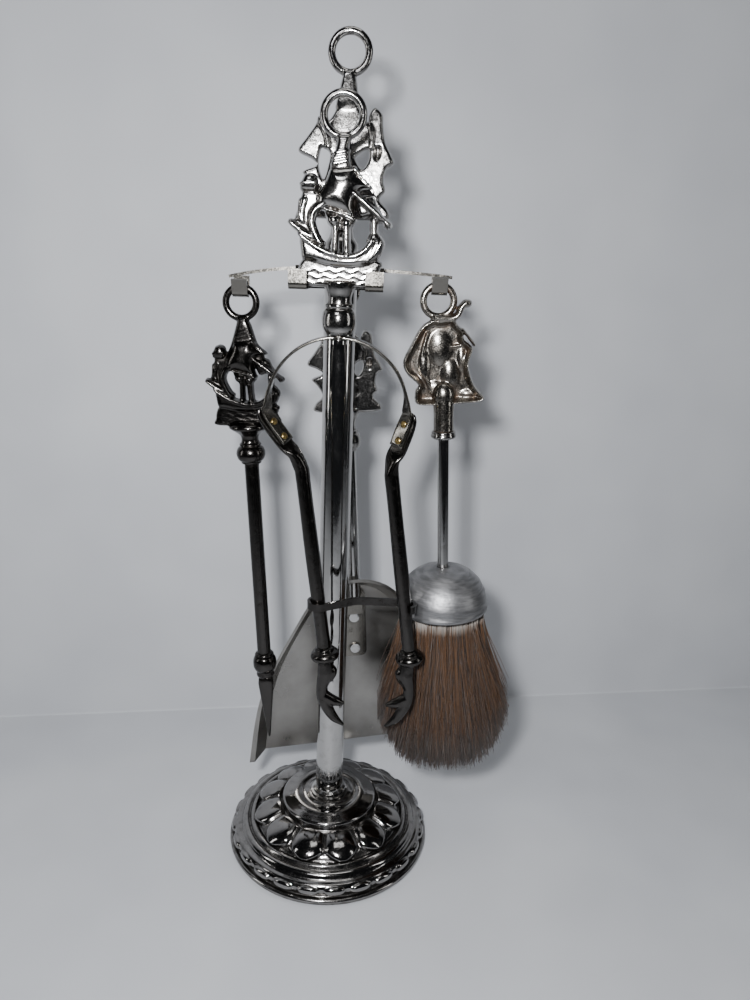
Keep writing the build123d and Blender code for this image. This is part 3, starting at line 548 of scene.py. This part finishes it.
# %% Relief drawing
class Relief:
    """Height field over a drawing in millimetres, with windows where nothing is drawn."""

    def __init__(self, low, high, step=0.32):
        xs, ys = np.arange(low[0], high[0], step), np.arange(low[1], high[1], step)
        self.x, self.y = np.meshgrid(xs, ys, indexing="ij")
        self.inside = np.full(self.x.shape, -9.0)
        self.height = np.zeros(self.x.shape)

    def depth(self, points):
        """Distance to an outline, positive inside it."""
        points = np.asarray(points, float)
        nearest = np.full(self.x.shape, 1e9)
        within = np.zeros(self.x.shape, bool)
        for (ax, ay), (bx, by) in zip(points, np.roll(points, -1, axis=0)):
            dx, dy = bx - ax, by - ay
            t = np.clip(((self.x - ax) * dx + (self.y - ay) * dy) / (dx * dx + dy * dy + 1e-9), 0, 1)
            nearest = np.minimum(nearest, np.hypot(self.x - ax - t * dx, self.y - ay - t * dy))
            crosses = (ay > self.y) != (by > self.y)
            within ^= crosses & (self.x < dx * (self.y - ay) / (dy if dy else 1e-9) + ax)
        return np.where(within, nearest, -nearest)

    def raise_to(self, depth, height):
        self.inside = np.maximum(self.inside, depth)
        self.height = np.where(depth > 0, np.maximum(self.height, height), self.height)

    def pillow(self, points, height, edge):
        """A sail or plate: rounded within the edge distance."""
        depth = self.depth(curve_points(list(points) + [points[0]], 4))
        self.raise_to(depth, height * np.sqrt(np.clip(1 - (1 - np.clip(depth / edge, 0, 1)) ** 2, 0, 1)))

    def bar(self, points, radius, height=0.0):
        """A half-round bar along a line."""
        line = curve_points(points, 4) if len(points) > 2 else np.asarray(points, float)
        for (ax, ay), (bx, by) in zip(line, line[1:]):
            dx, dy = bx - ax, by - ay
            t = np.clip(((self.x - ax) * dx + (self.y - ay) * dy) / (dx * dx + dy * dy + 1e-9), 0, 1)
            away = np.hypot(self.x - ax - t * dx, self.y - ay - t * dy)
            self.raise_to(radius - away, height + np.sqrt(np.clip(radius ** 2 - away ** 2, 0, None)))

    def blob(self, x, y, wide, tall, height):
        reach = np.hypot((self.x - x) / wide, (self.y - y) / tall)
        self.raise_to((1 - reach) * min(wide, tall), height * np.sqrt(np.clip(1 - reach ** 2, 0, 1)))

    def dig(self, points, depth, edge):
        """A shallow recess."""
        inside = self.depth(curve_points(list(points) + [points[0]], 4))
        self.height -= depth * np.clip(inside / edge, 0, 1)

    def cut(self, points):
        """A window right through."""
        inside = self.depth(curve_points(list(points) + [points[0]], 4))
        self.inside = np.minimum(self.inside, -inside)

    def shape(self, front=1.6, back=3.0, scale=1.0):
        """Mesh data of the relief: both faces meet at the outline."""
        rounding = np.sqrt(np.clip(1 - (1 - np.clip(self.inside / 1.3, 0, 1)) ** 2, 0, 1))
        top, low = rounding * (front + np.clip(self.height, -front - back + 1.2, None)), -back * rounding
        shown = self.inside > -0.2
        index = np.full(self.x.shape, -1)
        index[shown] = np.arange(shown.sum())
        count = shown.sum()
        places = np.column_stack([self.x[shown], self.y[shown]]) * scale
        vertices = np.vstack([np.column_stack([places, top[shown]]), np.column_stack([places, low[shown]])])
        whole = shown[:-1, :-1] & shown[1:, :-1] & shown[1:, 1:] & shown[:-1, 1:]
        corners = np.stack([index[:-1, :-1][whole], index[1:, :-1][whole], index[1:, 1:][whole],
                            index[:-1, 1:][whole]], 1)
        faces = [tuple(c) for c in corners] + [tuple(c) for c in corners[:, ::-1] + count]
        rims = {}
        for side in corners:
            for a, b in zip(side, np.roll(side, -1)):
                rims[(a, b)] = rims.get((a, b), 0) + 1
        faces += [(b, a, a + count, b + count) for a, b in rims if (b, a) not in rims]
        return vertices, faces


def front_ship(scale):
    """The ship seen from its good side: swelling main sail, stern lantern, bowsprit, curved hull and sea."""
    r = Relief((-26, -77), (26, -6))
    r.pillow([(-2.6, -8.6), (4.0, -8.6), (2.8, -14), (3.6, -22.5), (-5.4, -22.5), (-3.4, -14)], 1.8, 2.4)
    for x, y in ((-0.6, -16.4), (-0.9, -18.6), (-1.2, -20.8)):
        r.bar([(x - 3.2, y), (x + 3.6, y + 1.4)], 0.9, 1.2)
    r.pillow([(-5.8, -22.6), (5.0, -21.8), (7.9, -25.6), (12.9, -30.2), (9.1, -31.7), (6.6, -34.7),
              (5.8, -39.3), (6.5, -43.8), (0.8, -41.9), (-5.0, -40.4), (-10.0, -39.3), (-11.5, -35.1),
              (-8.1, -28.7)], 5.2, 7.5)
    r.bar([(-9.8, -39.6), (-4.0, -41.2), (2.0, -42.6), (6.6, -44.4)], 1.0, 2.6)
    r.bar([(5.6, -22.0), (8.6, -26.0), (13.4, -30.4)], 0.9, 2.4)
    r.pillow([(-17.4, -25.4), (-14.1, -24.6), (-11.3, -26.4), (-11.0, -31.7), (-13.3, -33.4), (-18.9, -32.8),
              (-19.5, -30.0)], 3.4, 3.4)
    r.bar([(-19.0, -29.6), (-11.6, -29.2)], 0.8, 2.8)
    r.pillow([(-18.3, -32.7), (-11.2, -32.7), (-7.0, -36.5), (-12.0, -42.3), (-12.4, -46.8), (-9.6, -55.0),
              (-17.9, -51.9), (-22.0, -46.8), (-20.1, -39.3)], 1.6, 2.0)
    r.bar([(-7.6, -37.8), (-12.2, -41.2), (-13.6, -46.0), (-12.0, -51.0), (-9.4, -55.6)], 1.7, 2.2)
    for shift in (0.0, 2.6):
        r.bar([(-16.8 - shift, -36.6), (-18.2 - shift * 0.6, -41.5), (-17.6 - shift * 0.4, -46.0)], 0.8, 1.8)
    r.bar([(-23.6, -46.4), (-19.6, -49.6), (-14.0, -52.8), (-8.6, -55.6)], 1.6, 1.9)
    r.pillow([(-19.9, -50.4), (-16.4, -53.4), (-10.8, -56.5), (-2.5, -59.4), (5.0, -60.2), (10.8, -57.4),
              (13.4, -53.4), (19.9, -53.0), (20.9, -55.9), (17.8, -61.9), (11.6, -65.0), (3.3, -66.0),
              (-5.0, -65.6), (-13.3, -63.8), (-18.0, -63.0), (-19.3, -56.7)], 3.2, 3.2)
    r.bar([(-19.4, -51.6), (-10.8, -57.2), (-2.0, -60.3), (6.0, -60.6), (11.6, -57.6), (14.6, -53.6)], 1.15,
          3.2)
    for step in range(4):
        r.bar([(14.2 + 1.7 * step, -54.6), (12.0 + 1.5 * step, -59.8), (8.6 + 1.5 * step, -63.0)], 0.6, 2.9)
    r.pillow([(12.0, -53.9), (14.6, -48.6), (18.4, -50.6), (20.6, -54.2), (16.0, -55.0)], 3.6, 2.6)
    r.bar([(15.4, -44.6), (15.6, -50.4)], 2.0, 1.4)
    r.pillow([(6.0, -34.2), (14.1, -33.6), (16.6, -37.7), (19.9, -43.8), (17.2, -46.0), (13.3, -43.0),
              (9.1, -43.8), (6.6, -39.3)], 2.2, 2.6)
    r.bar([(6.4, -33.6), (22.4, -46.2)], 1.35, 2.9)
    r.blob(22.0, -46.4, 2.1, 2.0, 3.6)
    r.pillow([(-7.9, -41.6), (6.2, -43.2), (5.6, -47.6), (0.0, -50.2), (-5.4, -47.6)], 1.8, 2.6)
    r.blob(-3.4, -45.0, 3.5, 2.9, 4.0)
    r.blob(2.6, -46.2, 3.0, 2.6, 3.6)
    r.bar([(-2.4, -48.0), (-2.7, -59.4)], 1.8, 0.9)
    r.bar([(2.5, -48.4), (3.1, -60.6)], 2.0, 1.4)
    r.pillow([(-17.2, -62.0), (17.2, -62.0), (18.6, -68.0), (18.0, -74.9), (-18.6, -74.9), (-20.4, -70.0),
              (-19.4, -65)], 1.6, 1.6)
    for row, y in enumerate((-67.6, -70.4, -73.2)):
        wave = [(x, y + 0.8 * sin(x * 0.9 + 1.7 * row)) for x in np.linspace(-16.5, 15.5, 15)]
        r.bar(wave, 0.5, 1.3)
    return r.shape(scale=scale)


def back_ship(scale):
    """The same casting from behind: a flat silhouette with two windows and an oval dimple."""
    r = Relief((-27, -78), (27, -6))
    r.pillow([(-2.4, -8.4), (2.6, -8.4), (4.6, -16), (5.6, -26), (-5.6, -26), (-4.2, -16)], 0.9, 2.0)
    r.pillow([(-5.0, -24.0), (5.0, -24.0), (10.5, -31.5), (10.2, -27.6), (13.0, -23.6), (17.0, -26.6),
              (17.6, -32.0), (19.0, -39.0), (22.0, -44.6), (23.4, -48.6), (20.0, -51.0), (18.6, -56.4),
              (19.8, -61.5), (17.0, -65.5), (21.5, -70.6), (18.5, -75.0), (-18.0, -75.0), (-20.4, -70.0),
              (-15.4, -64.5), (-18.6, -57.6), (-21.8, -53.6), (-14.6, -50.4), (-18.0, -47.4), (-24.2, -44.2),
              (-20.0, -38.0), (-15.6, -32.0), (-14.2, -28.2), (-9.4, -30.2)], 0.8, 1.6)
    r.cut([(-12.8, -42.2), (-8.4, -44.6), (-9.2, -50.6), (-11.4, -57.0), (-14.0, -50.0)])
    r.cut([(3.8, -46.4), (10.2, -42.4), (10.8, -47.4), (7.6, -51.6)])
    r.dig([(13.6, -40.8), (16.6, -40.8), (17.2, -44.4), (15.4, -47.8), (13.2, -45.6)], 1.6, 1.2)
    r.dig([(-6.5, -54), (6.0, -56), (8.0, -64), (-7.0, -66)], 0.7, 3.0)
    r.bar([(10.6, -31.0), (12.4, -36.6), (11.8, -42.0)], 0.9, 0.9)
    r.bar([(-13.6, -31.6), (-10.4, -36.6), (-9.0, -42.4)], 0.9, 0.9)
    return r.shape(front=2.2, back=2.6, scale=scale)


# %% Tongs handle and its ball
relief = front_ship(1.0)
neck = lathe(curve_points([(7.8, -72.6), (7.2, -75.6), (6.1, -78.8), (5.8, -81.2), (6.2, -84.2)], 5), 48)
ring = torus((0, 0), BIG_RING, MELTED_TUBE)
piece("tongs_ship", tongs_bench, gather(relief, neck, ring), cast_chrome, "tongs", ["tongs_handle"],
      voxel=0.42)
low_end = box_mm("tongs_ball")[0][2] - tongs_bench.origin[2]
ball = [(0.4, -82.6), (6.6, -82.8), (7.2, -83.6), (7.0, -84.4), (6.4, -84.9)]
ball += ball_profile(-85.0, low_end + 0.6, 8.5, 6.2) + [(6.4, low_end), (0.4, low_end)]
piece("tongs_ball_turned", tongs_bench, lathe(ball), cast_chrome, "tongs", ["tongs_ball"])

# %% Finial on the column: the same casting from behind, on its own baluster
relief = back_ship(1.0)
ring = torus((0.6, 0), BIG_RING, MELTED_TUBE)
foot = box_mm("finial_ship")[0][2] - finial_bench.origin[2]
column = curve_points([(6.4, -76), (5.7, -80), (6.2, -83.4), (8.2, -86.4), (8.5, -89.4), (6.8, -92.6),
                       (6.6, -94.4), (7.4, -95.4), (7.6, foot)], 5)
turned_foot = lathe(column, 56)
shifted = (turned_foot[0] - np.array([finial_bench.origin[0], 0, 0]), turned_foot[1])
piece("finial_cast", finial_bench, gather(relief, shifted, ring), cast_chrome, "stand", ["finial_ship"],
      voxel=0.42)

# %% Poker: a smaller ship in the dark-painted chrome on a beaded cup, then ball, knob and flattened point
relief = front_ship(0.86)
topsail = Relief((-16, -40), (16, -6))
topsail.pillow([(-2.6, -9), (3.4, -9), (7, -20), (10.4, -30), (-2, -33), (-11, -29), (-9, -26), (-6, -19)],
               2.0, 3.0)
ring = torus((0, 0), SMALL_RING, SMALL_TUBE)
cup = curve_points([(7.5, -61.6), (10.4, -63.4), (10.8, -65.4), (8.2, -67.4), (5.4, -69.6), (4.6, -72.2),
                    (5.2, -74.2)], 5)
piece("poker_ship", poker_bench, gather(relief, topsail.shape(), ring, lathe(cup, 56)), dark_chrome, "poker",
      ["poker_handle"], voxel=0.42)
low_end = -85.5
ball = [(0.4, -74.2), (5.4, -74.2), (6.0, -75.0), (5.4, -75.8)] + ball_profile(-75.8, -84.4, 7.9, 5.0)
ball += [(5.6, -84.8), (5.4, low_end), (0.4, low_end)]
piece("poker_baluster", poker_bench, lathe(ball), dark_chrome, "poker", ["poker_collar"])
knob = [(0.4, -202.5), (4.8, -202.5), (5.6, -203.4), (5.0, -204.4)] + ball_profile(-204.2, -214.4, 7.0, 4.6)
knob += [(4.8, -215.2), (5.4, -216.6), (5.0, -218.0), (0.4, -218.0)]
piece("poker_knob_turned", poker_bench, lathe(knob), dark_chrome, "poker", ["poker_knob"])


def hammered_point():
    """A forged wedge: square shoulders that thin to a chisel edge."""
    levels = [(-218.0, 3.4, 2.6), (-219.4, 4.2, 3.2), (-223.0, 4.6, 3.4), (-232.0, 3.7, 3.0),
              (-243.0, 2.5, 2.5), (-254.0, 1.3, 1.8), (-260.0, 0.7, 1.1), (-261.0, 0.3, 0.6)]
    vertices, sides = [], 24
    for height, wide, deep in levels:
        for k in range(sides):
            a = tau * k / sides
            x, z = abs(cos(a)) ** 0.5 * wide * np.sign(cos(a)), abs(sin(a)) ** 0.5 * deep * np.sign(sin(a))
            vertices.append((x, height, z))
    faces = [(i * sides + k, (i + 1) * sides + k, (i + 1) * sides + (k + 1) % sides,
              i * sides + (k + 1) % sides) for i in range(len(levels) - 1) for k in range(sides)]
    faces += [tuple(range(sides)), tuple((len(levels) - 1) * sides + k for k in range(sides))[::-1]]
    return np.array(vertices), faces


piece("poker_point", poker_bench, hammered_point(), dark_chrome, "poker", ["poker_tip"])

# %% Shovel handle, seen from behind
relief = back_ship(0.9)
neck_line = curve_points([(7.0, -66.0), (6.6, -68.4), (5.2, -71.6), (4.5, -75.4), (4.6, -78.0)], 5)
ring = torus((0, 0), SMALL_RING, SMALL_TUBE)
piece("shovel_ship", shovel_bench, gather(relief, lathe(neck_line, 48), ring), cast_chrome, "shovel",
      ["shovel_handle"], voxel=0.42)
ball = [(0.4, -78.0), (5.2, -78.0), (5.8, -78.8), (5.2, -79.6)] + ball_profile(-79.6, -89.0, 7.4, 4.8)
ball += [(5.2, -89.4), (5.0, -90.0), (0.4, -90.0)]
piece("shovel_baluster", shovel_bench, lathe(ball), cast_chrome, "shovel", ["shovel_collar"])


# %% [markdown]
# The brush shows the hollow side of its casting. The rim stands up all round, the sails are dents seen
# from inside, and rust-brown painted shade is laid in them.

# %% Brush handle
def hollow_ship():
    r = Relief((-27, -60), (28, 10))
    outline = [(-6.1, -9.0), (-12.1, -13.0), (-17.5, -22.1), (-21.6, -30.8), (-19.6, -37.3), (-13.7, -43.0),
               (-15.2, -46.0), (-14.6, -53.4), (-4.5, -54.2), (8.0, -53.6), (18.6, -52.8), (21.8, -50.6),
               (18.4, -46.6), (15.4, -42.0), (13.0, -33.0), (15.2, -24.8), (10.4, -19.6), (10.2, -15.4),
               (6.6, -11.6), (5.2, -8.4), (-1.0, -9.6)]
    r.pillow(outline, 2.6, 1.3)
    depth = r.depth(curve_points(outline + [outline[0]], 4))
    hollow = np.clip((depth - 1.1) / 2.2, 0, 1) ** 0.8
    r.height = r.height - 4.2 * hollow
    swell = [(-2.0, -24.0, 6.5, 9.5, 1.7), (3.4, -38.0, 5.2, 8.5, 1.9), (-10.5, -33.0, 3.2, 9.0, 1.5),
             (9.4, -30.0, 2.6, 7.0, 1.2), (-4.4, -45.0, 4.6, 4.0, 1.2), (13.2, -48.6, 4.6, 2.6, 1.2)]
    for x, y, wide, tall, lift in swell:
        reach = np.hypot((r.x - x) / wide, (r.y - y) / tall)
        r.height = r.height + hollow * lift * np.clip(1 - reach ** 2, 0, 1)
    r.height = np.clip(r.height, -1.8, None)
    kept_inside, kept_height = r.inside.copy(), r.height.copy()
    r.bar([(-8.6, -16.4), (-11.2, -26.0), (-11.6, -35.0), (-7.6, -44.0), (-4.6, -50.0)], 0.8, -1.2)
    r.bar([(-6.0, -24.6), (8.4, -23.0)], 0.7, -1.2)
    r.height = np.where(kept_inside > 0.6, np.maximum(kept_height, r.height), kept_height)
    r.inside = kept_inside
    r.bar([(-4.6, -8.4), (2.4, -9.2), (7.0, -7.4), (8.8, -3.6), (11.2, -1.2)], 1.8, 1.2)
    r.blob(11.6, -1.6, 2.8, 2.2, 2.8)
    r.bar([(9.6, -14.6), (16.0, -22.8)], 0.8, 1.6)
    r.blob(0.0, -49.0, 5.6, 7.0, 4.4)
    return r.shape(front=1.2, back=2.6)


ring = torus((-BRUSH_RING_SHIFT, 0), SMALL_RING, SMALL_TUBE)
socket = curve_points([(0.5, -46.4), (3.4, -47.0), (5.1, -49.4), (5.5, -53.0), (5.4, -60.0), (5.4, -67.4),
                       (5.5, -68.6)], 4)
piece("brush_ship", brush_bench, gather(hollow_ship(), ring, lathe(socket, 48)), hollow_shade_chrome, "brush",
      ["brush_handle"], voxel=0.42)
band = [(3.2, -68.4), (6.2, -68.5), (6.6, -69.2), (6.4, -70.0), (6.9, -70.6), (6.8, -71.6), (5.9, -72.3),
        (3.2, -72.3)]
piece("brush_socket_band", brush_bench, lathe(band, 56, closed=True), cast_chrome, "brush",
      ["brush_socket_ring"])

# %% [markdown]
# ## The brush head
#
# The dome is spun aluminium with a rolled lip. Holes in its underside hold tufts of coarse fibre, whose
# roots caught some of the silver paint. The fibres start straight, then lean out and wander, and end at
# ragged lengths. Each is a thin three-sided tapering tube, with its own shade.

# %% Dome with a rolled lip
dome_top, dome_rim = -147.5, -171.0
dome_line = [(3.3, dome_top - 1.0), (3.5, dome_top), (5.2, dome_top - 0.3)]
dome_line += [(5.0 + 20.6 * sin(a), dome_rim + 1.6 + 21.4 * cos(a)) for a in np.linspace(0.12, pi / 2, 18)]
dome_line += [(26.0, dome_rim + 0.6), (26.1, dome_rim - 0.8), (25.4, dome_rim - 1.6), (24.4, dome_rim - 1.2),
              (24.0, dome_rim + 1.0), (21.0, dome_rim + 1.6), (3.3, dome_rim + 1.6)]


def dented(r, h, angle):
    if r <= 6 or h <= dome_rim:
        return 0.0
    return 0.16 * sin(3 * angle + h * 0.5) * sin(h * 0.33) + 0.08 * sin(9 * angle + h)


piece("brush_dome_spun", brush_bench, lathe(dome_line, 96, closed=True, swell=dented), dome_metal, "brush",
      ["brush_dome"])


# %% Fibres
def strands(starts, ends, widths, silver_lengths, tones, points=6):
    """Tapering three-sided tubes from start to end, bowed, with the shade and root paint of each point."""
    vertices, faces, shade, paint = [], [], [], []
    for start, end, width, silver, tone in zip(starts, ends, widths, silver_lengths, tones):
        span = end - start
        bow = rng.normal(0, 2.2, 3) * np.array([1, 0.2, 0.7])
        first = len(vertices)
        for i in range(points):
            t = (i / (points - 1)) ** 1.25
            out = t ** 1.45
            centre = start + np.array([span[0] * out, span[1] * t, span[2] * out]) + bow * sin(pi * t) * t
            radius = width * (1 - 0.6 * t)
            for k in range(3):
                a = tau * k / 3 + tone * 6
                vertices.append(centre + radius * np.array([cos(a), 0, sin(a)]))
                shade.append(tone)
                paint.append(max(0.0, 1 - t * abs(span[1]) / silver) if silver > 0 else 0.0)
        for i in range(points - 1):
            for k in range(3):
                a, b = first + 3 * i + k, first + 3 * i + (k + 1) % 3
                faces.append((a, b, b + 3, a + 3))
        faces += [(first + 2, first + 1, first), tuple(first + 3 * (points - 1) + k for k in range(3))]
    return (np.array(vertices), faces), shade, paint


def store(made, name, values):
    made.data.attributes.new(name, "FLOAT", "POINT").data.foreach_set("value", np.asarray(values, np.float32))


def tuft_fibres(count, ring_share, fan_spread):
    """Fibres in tufts: each starts in a hole of the dome and ends somewhere round the flared hem."""
    starts, ends, widths, silvers, tones = [], [], [], [], []
    for _ in range(count):
        share = rng.choice(ring_share)
        holes = max(1, int(round(13 * share)))
        hole = rng.integers(holes)
        angle = tau * (hole + 0.5) / holes + rng.normal(0, 0.08 / max(share, 0.2))
        reach = share + rng.normal(0, 0.03)
        low = -274.0 + abs(rng.normal(0, 5.0)) + (9.0 * rng.random() if rng.random() < 0.3 else 0.0)
        fan = reach * (1 + rng.normal(0, fan_spread))
        spread = angle + rng.normal(0, 0.2)
        low += 21.0 * abs(fan * cos(spread)) ** 3.5
        starts.append((22.5 * reach * cos(angle), dome_rim + 0.4, 17.6 * reach * sin(angle)))
        ends.append((np.clip(37.5 * fan * cos(spread), -39.5, 39.5), max(low, -276.0),
                     np.clip(16.5 * fan * sin(spread), -17.5, 17.5)))
        widths.append(rng.uniform(0.2, 0.34))
        silvers.append(rng.uniform(4, 13) if share > 0.8 and rng.random() < 0.85 else 0.0)
        tones.append(rng.beta(1.6, 2.2))
    return np.array(starts), np.array(ends), widths, silvers, tones


for name, count, shares, nodes in (("fibres_outer", 4600, (1.0, 0.96, 0.9),
                                    ["brush_bristles", "brush_tufts"]), ("fibres_inner", 4200,
                                                                         (0.78, 0.6, 0.4, 0.2), [])):
    tube_data, shade, paint = strands(*tuft_fibres(count, shares, 0.1))
    made = piece(name, brush_bench, tube_data, fibre, "brush", nodes)
    store(made, "tone", shade)
    store(made, "silvered", paint)

# %% [markdown]
# ## The tongs' spring and arms
#
# A springy strip is bent round into an arch, and each arm is a rod whose top was flattened into a leaf
# and riveted to the strip. The strip twists a little as it comes down, so that the leaf on the right
# shows its inner face with the two brass rivets. The arms are then swept shapes whose section changes
# from a flat leaf to a round rod.


# %% Sweeps with a changing section
def sweep(path, wide, thick, turn, sides=20, power=None):
    """Sweep a rounded section along a path. wide and thick are its half sizes, wide towards the viewer
    at turn zero and thick across the path. turn twists the section, in radians."""
    path = np.asarray(path, float)
    tangents = np.gradient(path, axis=0)
    tangents /= np.linalg.norm(tangents, axis=1)[:, None]
    front = np.array([0.0, 0.0, 1.0])
    vertices = []
    for i, (centre, tangent) in enumerate(zip(path, tangents)):
        side = np.cross(tangent, front)
        side /= np.linalg.norm(side)
        ahead = np.cross(side, tangent)
        sharp = power[i] if power is not None else 1.0
        for k in range(sides):
            a = tau * k / sides
            u = wide[i] * abs(cos(a)) ** sharp * np.sign(cos(a))
            v = thick[i] * abs(sin(a)) ** sharp * np.sign(sin(a))
            u, v = u * cos(turn[i]) - v * sin(turn[i]), u * sin(turn[i]) + v * cos(turn[i])
            vertices.append(centre + u * ahead + v * side)
    return np.array(vertices), tube_faces(len(path), sides)


def eased(t):
    t = np.clip(t, 0, 1)
    return t * t * (3 - 2 * t)


def flat3(points):
    points = np.asarray(points, float)
    return np.column_stack([points, np.zeros(len(points))])


ARCH = 35.2
RIVET_STEPS, RIVET_SIDES = (3.5, 12.5), 20
arms = {"left": {"sign": -1, "knee": (-35.2, -39.0), "spring_end": (-24.8, -53.5), "top": (-18.4, -61.5),
                 "foot": (-4.0, -172.5), "twist": radians(38)},
        "right": {"sign": 1, "knee": (35.2, -39.0), "spring_end": (30.6, -54.0), "top": (28.2, -62.5),
                  "foot": (43.6, -172.5), "twist": radians(-52)}}

for side, arm in arms.items():
    sign, body = arm["sign"], f"{side}_tongs_arm"
    angles = np.linspace(0.035, pi / 2, 40)
    arch = [(sign * ARCH * sin(a), -ARCH + ARCH * cos(a)) for a in angles]
    tail = curve_points([arch[-1], arm["knee"], arm["spring_end"]], 9)
    path = flat3(arch + list(tail[1:]))
    drop = eased((-path[:, 1] - 22) / 26)
    twist = arm["twist"] * drop
    spring = sweep(path, np.full(len(path), 4.0), np.full(len(path), 0.8), twist,
                   power=np.full(len(path), 0.35))
    piece(f"{side}_spring_strip", crown_bench, spring, strip_chrome, body, [f"{side}_spring"])

    # The leaf lies outside the strip, then rounds off into the rod
    end, knee, top = np.array(arm["spring_end"]), np.array(arm["knee"]), np.array(arm["top"])
    foot = np.array(arm["foot"])
    along = (end - knee) / np.linalg.norm(end - knee)
    outward = np.array([along[1], -along[0]]) * -sign
    gap = 1.75
    start = np.array([sign * (ARCH + gap), -ARCH - 1.0])
    line = [start, np.array([sign * (ARCH + gap), knee[1] - 1.0]) + 0.4 * along, end + outward * gap,
            end + along * 7 + outward * 0.8, top + (foot - top) * 0.06]
    bend = curve_points(line, 9)
    rod = np.array([top + (foot - top) * t for t in np.linspace(0.08, 1, 26)])
    path = flat3(np.vstack([bend, rod]))
    lengths = np.concatenate([[0], np.cumsum(np.linalg.norm(np.diff(path[:, :2], axis=0), axis=1))])
    round_off = eased((lengths - 20) / 16)
    end_round = np.clip(lengths / 4.0, 0.0, 1.0)
    wide = (5.0 - 1.1 * round_off) * np.sqrt(1 - (1 - end_round) ** 2 * 0.85)
    thick = 0.9 + (3.0 + 0.15 * np.sin(lengths * 0.09)) * round_off
    twist = arm["twist"] * eased((-path[:, 1] - 22) / 26) * (1 - 0.6 * round_off)
    power = 0.4 + 0.6 * round_off
    piece(f"{side}_arm_forged", crown_bench, sweep(path, wide, thick, twist, power=power), dark_chrome, body,
          [f"{side}_arm"])

    # Rivet heads stand square to the twisted leaf
    heads = []
    for step in RIVET_STEPS:
        centre = end - along * step + outward * (gap / 2)
        turn = arm["twist"] * float(eased((-centre[1] - 22) / 26))
        flat = np.array([*outward, 0.0])
        normal = flat * cos(turn) * -1 + np.array([0, 0, 1.0]) * abs(sin(turn))
        normal /= np.linalg.norm(normal)
        first = np.cross(normal, [*along, 0.0])
        for face in (1, -1):
            dome = [(1.9 * sin(a), 1.7 + 0.9 * cos(a)) for a in np.linspace(0.05, pi / 2, 7)]
            ring_points = []
            for r_out, h_out in dome:
                for k in range(RIVET_SIDES):
                    a = tau * k / RIVET_SIDES
                    ring_points.append(np.array([*centre, 0]) + face * normal * h_out
                                       + r_out * (cos(a) * first + sin(a) * np.array([*along, 0.0])))
            heads.append((np.array(ring_points), tube_faces(len(dome), RIVET_SIDES)))
    piece(f"{side}_rivet_heads", crown_bench, gather(*heads), brass, body, [f"{side}_rivets"])

    # Collar and claw hang in line with the rod's foot
    low, high = box_mm(f"{side}_collar")
    lean = atan2(foot[0] - top[0], top[1] - foot[1])
    foot_bench = Bench(crown_bench.place([[*foot, 0]])[0] / MM, lean)
    ringed = curve_points([(4.0, 2.4), (5.2, 1.6), (5.6, 0.2), (7.2, -0.6), (8.1, -2.4), (7.4, -4.4),
                           (5.4, -5.6), (4.4, -7.0)], 5)
    piece(f"{side}_collar_turned", foot_bench, lathe(ringed, 56), dark_chrome, body, [f"{side}_collar"])

    # The claw: a palm that narrows, a thumb, and a hooked finger that comes back under it
    inward = -sign
    palm = curve_points([(0.0, -4.0), (1.1, -13.5), (-0.9, -22.8), (-0.2, -30.3), (2.4, -36.8), (6.2, -43.0),
                         (11.8, -48.0)], 6)
    palm_size = np.interp(np.linspace(0, 1, len(palm)), [0, 0.17, 0.34, 0.5, 0.67, 0.84, 1.0],
                          [4.0, 4.9, 3.2, 3.6, 3.4, 2.6, 0.8])
    thumb = curve_points([(0.6, -29.0), (5.0, -31.6), (9.0, -33.0), (12.0, -33.6)], 6)
    thumb_size = np.interp(np.linspace(0, 1, len(thumb)), [0, 0.5, 1.0], [3.4, 2.9, 0.9])
    knuckle = curve_points([(0.8, -8.0), (4.2, -13.0), (3.4, -19.0)], 6)
    knuckle_size = np.interp(np.linspace(0, 1, len(knuckle)), [0, 0.5, 1.0], [2.2, 3.4, 1.8])
    shapes = []
    for line, size in ((palm, palm_size), (thumb, thumb_size), (knuckle, knuckle_size)):
        centred = flat3(line)
        centred[:, 0] *= inward
        shapes.append(sweep(centred, size * 0.95, size, np.zeros(len(line)), sides=16))
    claw_bench = Bench(crown_bench.place([[*foot, 0]])[0] / MM, 0.0)
    piece(f"{side}_claw_cast", claw_bench, gather(*shapes), dark_chrome, body, [f"{side}_claw"], voxel=0.45,
          rounds=4)
